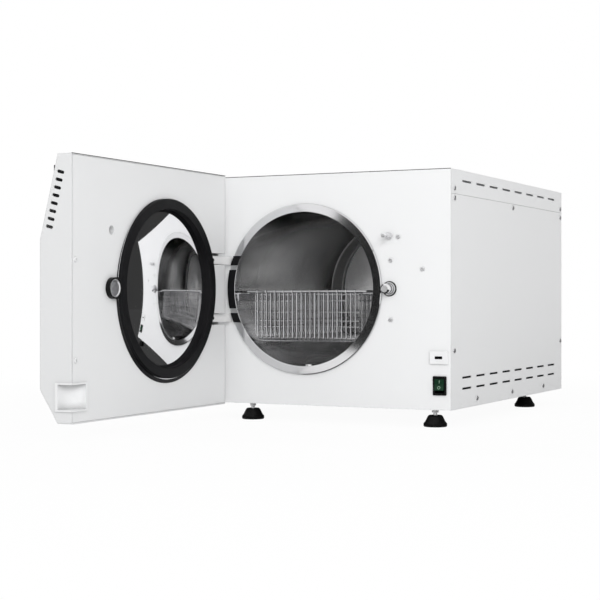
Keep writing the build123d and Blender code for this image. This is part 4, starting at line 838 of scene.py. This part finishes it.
def make_rocker_marks():
    middle_x = middle_of("rocker").x
    pivot = Vector((middle_x, ROCKER_PIVOT_Y, ROCKER_PIVOT_Z))
    turn = Matrix.Translation(pivot) @ Matrix.Rotation(ROCKER_TILT, 4, "X") @ Matrix.Translation(-pivot)
    points, faces = [], []

    def on_face(x, z, lift):
        y = ROCKER_DEEP_Y - ROCKER_DISH + sqrt(ROCKER_DISH ** 2 - z ** 2) - lift
        return turn @ Vector((middle_x + x, y, ROCKER_PIVOT_Z + z))

    def add_strip(inner, outer, closed):
        start = len(points)
        count = len(inner)
        for a, b in zip(inner, outer):
            for lift in (-MARK_LIFT, MARK_THICK):
                points.append(on_face(*a, lift))
                points.append(on_face(*b, lift))
        for index in range(count if closed else count - 1):
            here, there = start + index * 4, start + ((index + 1) % count) * 4
            for a, b in ((2, 3), (3, 1), (1, 0), (0, 2)):
                faces.append((here + a, here + b, there + b, there + a))
        if not closed:
            last = start + (count - 1) * 4
            faces.append((start, start + 1, start + 3, start + 2))
            faces.append((last, last + 2, last + 3, last + 1))

    def ring(across, rise):
        angles = [2 * pi * step / RING_STEPS for step in range(RING_STEPS)]
        return [(across * cos(angle), rise * sin(angle) - MARK_OFFSET) for angle in angles]

    heights = [MARK_OFFSET + BAR_HALF_LENGTH * (2 * step / BAR_STEPS - 1) for step in range(BAR_STEPS + 1)]
    add_strip([(-BAR_HALF_WIDTH, z) for z in heights], [(BAR_HALF_WIDTH, z) for z in heights], False)
    add_strip(ring(*RING_INNER), ring(*RING_OUTER), True)
    mesh = mesh_from("rocker_marks", points, faces)
    face_outwards(mesh)
    add_piece(mesh, "rocker", "white_plastic", finish=mark_pale)


# The chamber's wall, with two rolled beads before its dished far end
VESSEL_WALL = 3 * MM
DISH_DEPTH = 40 * MM
FAR_BAND_START = 58 * MM
FAR_BAND_END = 6 * MM
FAR_BEAD = 1.6 * MM
FAR_BEAD_WIDTH = 6 * MM
BEAD_STEPS = 8


def make_chamber():
    low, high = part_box("chamber_vessel")
    outer = (high.x - low.x) / 2
    bore = outer - VESSEL_WALL
    crown = (bore ** 2 + DISH_DEPTH ** 2) / (2 * DISH_DEPTH)
    end = high.y - VESSEL_WALL
    rim = end - DISH_DEPTH
    band = rim - FAR_BAND_START
    outline = [(outer, low.y), (bore, low.y)]
    for start in (band, rim - FAR_BAND_END - FAR_BEAD_WIDTH):
        for step in range(BEAD_STEPS + 1):
            angle = pi * step / BEAD_STEPS
            outline.append((bore - FAR_BEAD * sin(angle), start + FAR_BEAD_WIDTH * (1 - cos(angle)) / 2))
    for step in range(DOME_STEPS + 1):
        radius = bore * (1 - step / DOME_STEPS)
        outline.append((radius, end - crown + sqrt(crown ** 2 - radius ** 2)))
    for step in range(DOME_STEPS + 1):
        radius = outer * step / DOME_STEPS
        outline.append((radius, end - crown + sqrt((crown + VESSEL_WALL) ** 2 - radius ** 2)))
    mesh = turned_mesh("chamber_wall", outline, on_axis_y(low, high), ALONG_Y)
    add_piece(mesh, "housing", "polished_steel", ("chamber_vessel",), chamber_steel)
    mesh.materials.append(band_steel)
    mesh.materials.append(dish_steel)
    for polygon in mesh.polygons:
        polygon.material_index = int(polygon.center.y > band) + int(polygon.center.y > rim)


# The sealing ring, whose face falls back a little from the bore to the outer edge
RING_FACE = 13.5 * MM
RING_CREASE_DEGREES = 12.0
FACE_LEAN = 1.0 * MM
FACE_START = 0.2 * MM
FACE_BREAK = 0.4 * MM
FACE_ROUND = 1.0 * MM


def make_ring():
    low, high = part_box("chamber_ring")
    outer = (high.x - low.x) / 2
    bore = outer - RING_FACE
    near, far = low.y + FACE_START, low.y + FACE_START + FACE_LEAN
    outline = [(bore, high.y), (bore, near + FACE_BREAK), (bore + FACE_BREAK, near),
               (outer - FACE_ROUND, far), (outer, far + FACE_ROUND), (outer, high.y)]
    mesh = turned_mesh("sealing_ring", outline, on_axis_y(low, high), ALONG_Y)
    add_piece(mesh, "housing", "polished_steel", ("chamber_ring",), ring_steel, RING_CREASE_DEGREES)


# Fine black gauze behind the vent slots of the sides and of the door
GAUZE_THICK = 0.5 * MM
SIDE_GAUZE_IN = 4.6 * MM
SIDE_GAUZE_FRONT = 44 * MM
SIDE_GAUZE_BACK = 34 * MM
SIDE_GAUZE_LEVELS = ((25 * MM, 54 * MM), (352 * MM, 364 * MM))
DOOR_GAUZE_TOP = 16 * MM
DOOR_GAUZE_HEIGHT = 92 * MM
DOOR_GAUZE_FAR = 32 * MM
DOOR_GAUZE_NEAR = 4 * MM
DOOR_GAUZE_IN = 3 * MM


def make_gauzes():
    low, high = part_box("side_panels")
    boxes = []
    for sign in (-1, 1):
        x = sorted(sign * (high.x - SIDE_GAUZE_IN - depth) for depth in (0.0, GAUZE_THICK))
        for below, above in SIDE_GAUZE_LEVELS:
            boxes.append(((x[0], low.y + SIDE_GAUZE_FRONT, low.z + below),
                          (x[1], high.y - SIDE_GAUZE_BACK, low.z + above)))
    add_piece(mesh_of_boxes("slot_gauzes", boxes), "housing", "black_rubber")

    low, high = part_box("door_cover")
    top, y = high.z - DOOR_GAUZE_TOP, low.y + DOOR_GAUZE_IN
    box = ((high.x - DOOR_GAUZE_FAR, y, top - DOOR_GAUZE_HEIGHT),
           (high.x - DOOR_GAUZE_NEAR, y + GAUZE_THICK, top))
    add_piece(mesh_of_boxes("door_gauze", [box]), "door", "black_rubber")


# Plugs in the holes of the hinge arms
PLUG_RADIUS = 2.74 * MM
PLUG_BACK = 2.9 * MM
PLUG_SUNK = 0.3 * MM
PLUG_STEPS = 24
ARM_HALF = 6.75 * MM
ARM_FACE_X = -169 * MM
ARM_HOLE_IN = 4.75 * MM


def make_arm_plugs():
    low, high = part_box("hinge_arms")
    points, faces = [], []
    outline = [(0.0, -PLUG_BACK), (PLUG_RADIUS, -PLUG_BACK), (PLUG_RADIUS, -PLUG_SUNK), (0.0, -PLUG_SUNK)]
    for z in (low.z + ARM_HALF, high.z - ARM_HALF):
        place = Vector((ARM_FACE_X, low.y + ARM_HOLE_IN, z))
        plug = turned_mesh("plug", outline, place, ALONG_X, PLUG_STEPS)
        start = len(points)
        points += [vertex.co.copy() for vertex in plug.vertices]
        faces += [tuple(start + corner for corner in polygon.vertices) for polygon in plug.polygons]
        bpy.data.meshes.remove(plug)
    add_piece(mesh_from("arm_plugs", points, faces), "housing", "black_plastic")


# The black shell and tongue inside the USB plate's opening
LINER_IN = 0.3 * MM
LINER_BACK = 4.2 * MM
LINER_HALF_X = 6.2 * MM
LINER_HALF_Z = 2.2 * MM
LINER_WALL = 0.4 * MM
TONGUE_HALF = 4.85 * MM
TONGUE_LOW = 0.1 * MM
TONGUE_HIGH = 1.7 * MM
TONGUE_PROUD = 0.1 * MM


def make_usb_liner():
    low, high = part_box("usb_plate")
    x, z = (low.x + high.x) / 2, (low.z + high.z) / 2
    front, back = low.y + LINER_IN, high.y - LINER_BACK
    inner_x = LINER_HALF_X - LINER_WALL
    boxes = []
    for sign in (-1, 1):
        wall_x = sorted(x + sign * away for away in (LINER_HALF_X, inner_x))
        wall_z = sorted(z + sign * away for away in (LINER_HALF_Z, LINER_HALF_Z - LINER_WALL))
        boxes.append(((wall_x[0], front, z - LINER_HALF_Z), (wall_x[1], back, z + LINER_HALF_Z)))
        boxes.append(((x - inner_x, front, wall_z[0]), (x + inner_x, back, wall_z[1])))
    boxes.append(((x - LINER_HALF_X, back, z - LINER_HALF_Z),
                  (x + LINER_HALF_X, back + LINER_WALL, z + LINER_HALF_Z)))
    boxes.append(((x - TONGUE_HALF, FRONT_Y - TONGUE_PROUD, z + TONGUE_LOW),
                  (x + TONGUE_HALF, back, z + TONGUE_HIGH)))
    add_piece(mesh_of_boxes("usb_liner", boxes), "housing", "black_plastic")


# The bright sleeve that the lock pin slides in, at the face of its black guide
SLEEVE_BORE = 8.4 * MM
SLEEVE_RADIUS = 10.5 * MM
SLEEVE_PROUD = 0.4 * MM
SLEEVE_SUNK = 0.6 * MM
SLEEVE_EDGE = 0.3 * MM
SLEEVE_STEPS = 64


def make_guide_sleeve():
    low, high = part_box("lock_guide")
    front, back = low.y - SLEEVE_PROUD, low.y + SLEEVE_SUNK
    outline = [(SLEEVE_BORE, back), (SLEEVE_BORE, front + SLEEVE_EDGE), (SLEEVE_BORE + SLEEVE_EDGE, front),
               (SLEEVE_RADIUS - SLEEVE_EDGE, front), (SLEEVE_RADIUS, front + SLEEVE_EDGE),
               (SLEEVE_RADIUS, back)]
    mesh = turned_mesh("guide_sleeve", outline, on_axis_y(low, high), ALONG_Y, SLEEVE_STEPS)
    add_piece(mesh, "housing", "mirror_steel", finish=cup_steel)


# Dark strips along the upper edges of the front panel and of the door's cover: painted shade for the shadow
# gap where the top cover overlaps
STRIP_PROUD = 0.15 * MM
STRIP_HEIGHT = 1.0 * MM


def make_shadow_gap_strips():
    low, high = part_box("front_panel")
    box = ((low.x, low.y - STRIP_PROUD, high.z - STRIP_HEIGHT), (high.x, low.y, high.z))
    add_piece(mesh_of_boxes("panel_shadow_strip", [box]), "housing", "dark_trim")
    low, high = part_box("door_cover")
    box = ((high.x, low.y, high.z - STRIP_HEIGHT), (high.x + STRIP_PROUD, high.y, high.z))
    add_piece(mesh_of_boxes("door_shadow_strip", [box]), "door", "dark_trim")


make_lid()
make_basket()
make_screws("case_cross_screws", "case_screws", "housing", "zinc")
make_screws("door_cross_screws", "door_screws", "door", "door_white")
make_rocker_marks()
make_chamber()
make_ring()
make_gauzes()
make_arm_plugs()
make_usb_liner()
make_guide_sleeve()
make_rim_hooks()
# Dark strips as painted shade along the upper edges
make_shadow_gap_strips()

# Floor, lights and camera. The floor's own light fades in from GLOW_NEAR to GLOW_FAR, in metres
FLOOR_REACH = 40.0
FLOOR_TONES = ((0.9, 0.9, 0.9), (0.92, 0.92, 0.92))
FLOOR_GLOW = 0.955
GLOW_NEAR = 0.6
GLOW_FAR = 1.6
SKY_LEVEL = 0.645
# Each dark card's name, corners and shade. CARD_CHANGE is the share by which a shade varies over its card
CARD_CHANGE = 0.2
CARDS = (
    ("dark_card_right",
     [(1.3, -0.4, 0.0), (1.3, 3.2, 0.0), (1.3, 3.2, 2.6), (1.3, -0.4, 2.6)], 0.04),
    ("dark_card_floor",
     [(-0.25, -0.4, 0.002), (1.3, -0.4, 0.002), (1.3, 3.2, 0.002), (-0.25, 3.2, 0.002)], 0.05),
    ("dark_card_front",
     [(-0.95, -2.6, 0.0), (-0.25, -2.6, 0.0), (-0.25, -2.6, 0.9), (-0.95, -2.6, 0.9)], 0.02),
    ("dark_card_near",
     [(-0.6, -2.6, 0.003), (-0.1, -2.6, 0.003), (-0.1, -0.8, 0.003), (-0.6, -0.8, 0.003)], 0.02))
CAMERA_PLACE = (1.0013, -2.1577, 0.2038)
CAMERA_TURN = 0.464
LENS = 85.984
SENSOR_WIDTH = 36.0
SHIFT_X = -0.00047
SHIFT_Y = -0.00628


def seen_directly(tree):
    """1 for what the camera, metal and glass see, and 0 for the light that falls on things."""
    rays = add_node(tree, "ShaderNodeLightPath").outputs
    direct = calculate(tree, "MAXIMUM", rays["Is Camera Ray"], rays["Is Glossy Ray"])
    return calculate(tree, "MAXIMUM", direct, rays["Is Transmission Ray"])


def make_floor():
    """A floor that shows white, and very slightly grey under the object, and takes its shadow."""
    corners = [(-FLOOR_REACH, -FLOOR_REACH, 0), (FLOOR_REACH, -FLOOR_REACH, 0), (FLOOR_REACH, FLOOR_REACH, 0),
               (-FLOOR_REACH, FLOOR_REACH, 0)]
    mesh = mesh_from("floor", corners, [(0, 1, 2, 3)])
    material, tree, surface = new_material("pale floor")
    patches = make_noise(tree, object_place(tree), Scale=3.0, Detail=3.0)
    tone = blend_colours(tree, patches, *FLOOR_TONES)
    feed(tree, surface, Base_Color=tone, Roughness=0.7)
    glow = add_node(tree, "ShaderNodeEmission")
    away = calculate_vector(tree, "LENGTH", object_place(tree))
    reach = add_node(tree, "ShaderNodeMapRange", interpolation_type="SMOOTHSTEP")
    feed(tree, reach, Value=away, From_Min=GLOW_NEAR, From_Max=GLOW_FAR, To_Min=FLOOR_GLOW, To_Max=1.0)
    mixed = add_node(tree, "ShaderNodeMixShader")
    feed(tree, mixed, Fac=calculate(tree, "MULTIPLY", seen_directly(tree), reach.outputs["Result"]))
    tree.links.new(surface.outputs["BSDF"], mixed.inputs[1])
    tree.links.new(glow.outputs["Emission"], mixed.inputs[2])
    tree.links.new(mixed.outputs["Shader"], tree.nodes["Material Output"].inputs["Surface"])
    mesh.materials.append(material)
    floor = bpy.data.objects.new("floor", mesh)
    bpy.context.scene.collection.objects.link(floor)


def make_card(name, corners, shade):
    """A dark card of the studio, which only shows in what is polished."""
    mesh = mesh_from(name, corners, [(0, 1, 2, 3)])
    material, tree, surface = new_material(name)
    tree.nodes.remove(surface)
    fall = make_noise(tree, object_place(tree), Scale=0.8)
    glow = add_node(tree, "ShaderNodeEmission")
    feed(tree, glow, Strength=spread(tree, fall, shade * (1 - CARD_CHANGE), shade * (1 + CARD_CHANGE)))
    tree.links.new(glow.outputs["Emission"], tree.nodes["Material Output"].inputs["Surface"])
    mesh.materials.append(material)
    card = bpy.data.objects.new(name, mesh)
    bpy.context.scene.collection.objects.link(card)
    card.visible_camera = False
    card.visible_diffuse = False
    card.visible_shadow = False
    card.visible_transmission = False


def make_world():
    """A white room that lights the object less than it shows."""
    world = bpy.data.worlds.new("studio")
    bpy.context.scene.world = world
    world.use_nodes = True
    tree = world.node_tree
    feed(tree, tree.nodes["Background"], Color=(1.0, 1.0, 1.0, 1.0),
         Strength=spread(tree, seen_directly(tree), low=SKY_LEVEL, high=1.0))


def make_softbox(name, place, target, size, power):
    data = bpy.data.lights.new(name, "AREA")
    data.shape = "RECTANGLE"
    data.size, data.size_y = size
    data.energy = power
    lamp = bpy.data.objects.new(name, data)
    lamp.location = place
    lamp.rotation_euler = (Vector(target) - Vector(place)).to_track_quat("-Z", "Y").to_euler()
    lamp.visible_glossy = False
    bpy.context.scene.collection.objects.link(lamp)


def make_camera():
    data = bpy.data.cameras.new("camera")
    data.sensor_fit = "HORIZONTAL"
    data.sensor_width = SENSOR_WIDTH
    data.lens = LENS
    data.shift_x = SHIFT_X
    data.shift_y = SHIFT_Y
    camera = bpy.data.objects.new("camera", data)
    camera.location = CAMERA_PLACE
    camera.rotation_euler = (pi / 2, 0.0, CAMERA_TURN)
    bpy.context.scene.collection.objects.link(camera)
    bpy.context.scene.camera = camera


make_floor()
make_world()
make_softbox("front_softbox", place=(2.1, -3.1, 1.5), target=(0.0, 0.0, 0.2), size=(2.4, 1.8), power=75.0)
for card_name, card_corners, card_shade in CARDS:
    make_card(card_name, card_corners, card_shade)
make_camera()
bpy.context.scene.view_settings.view_transform = "Standard"
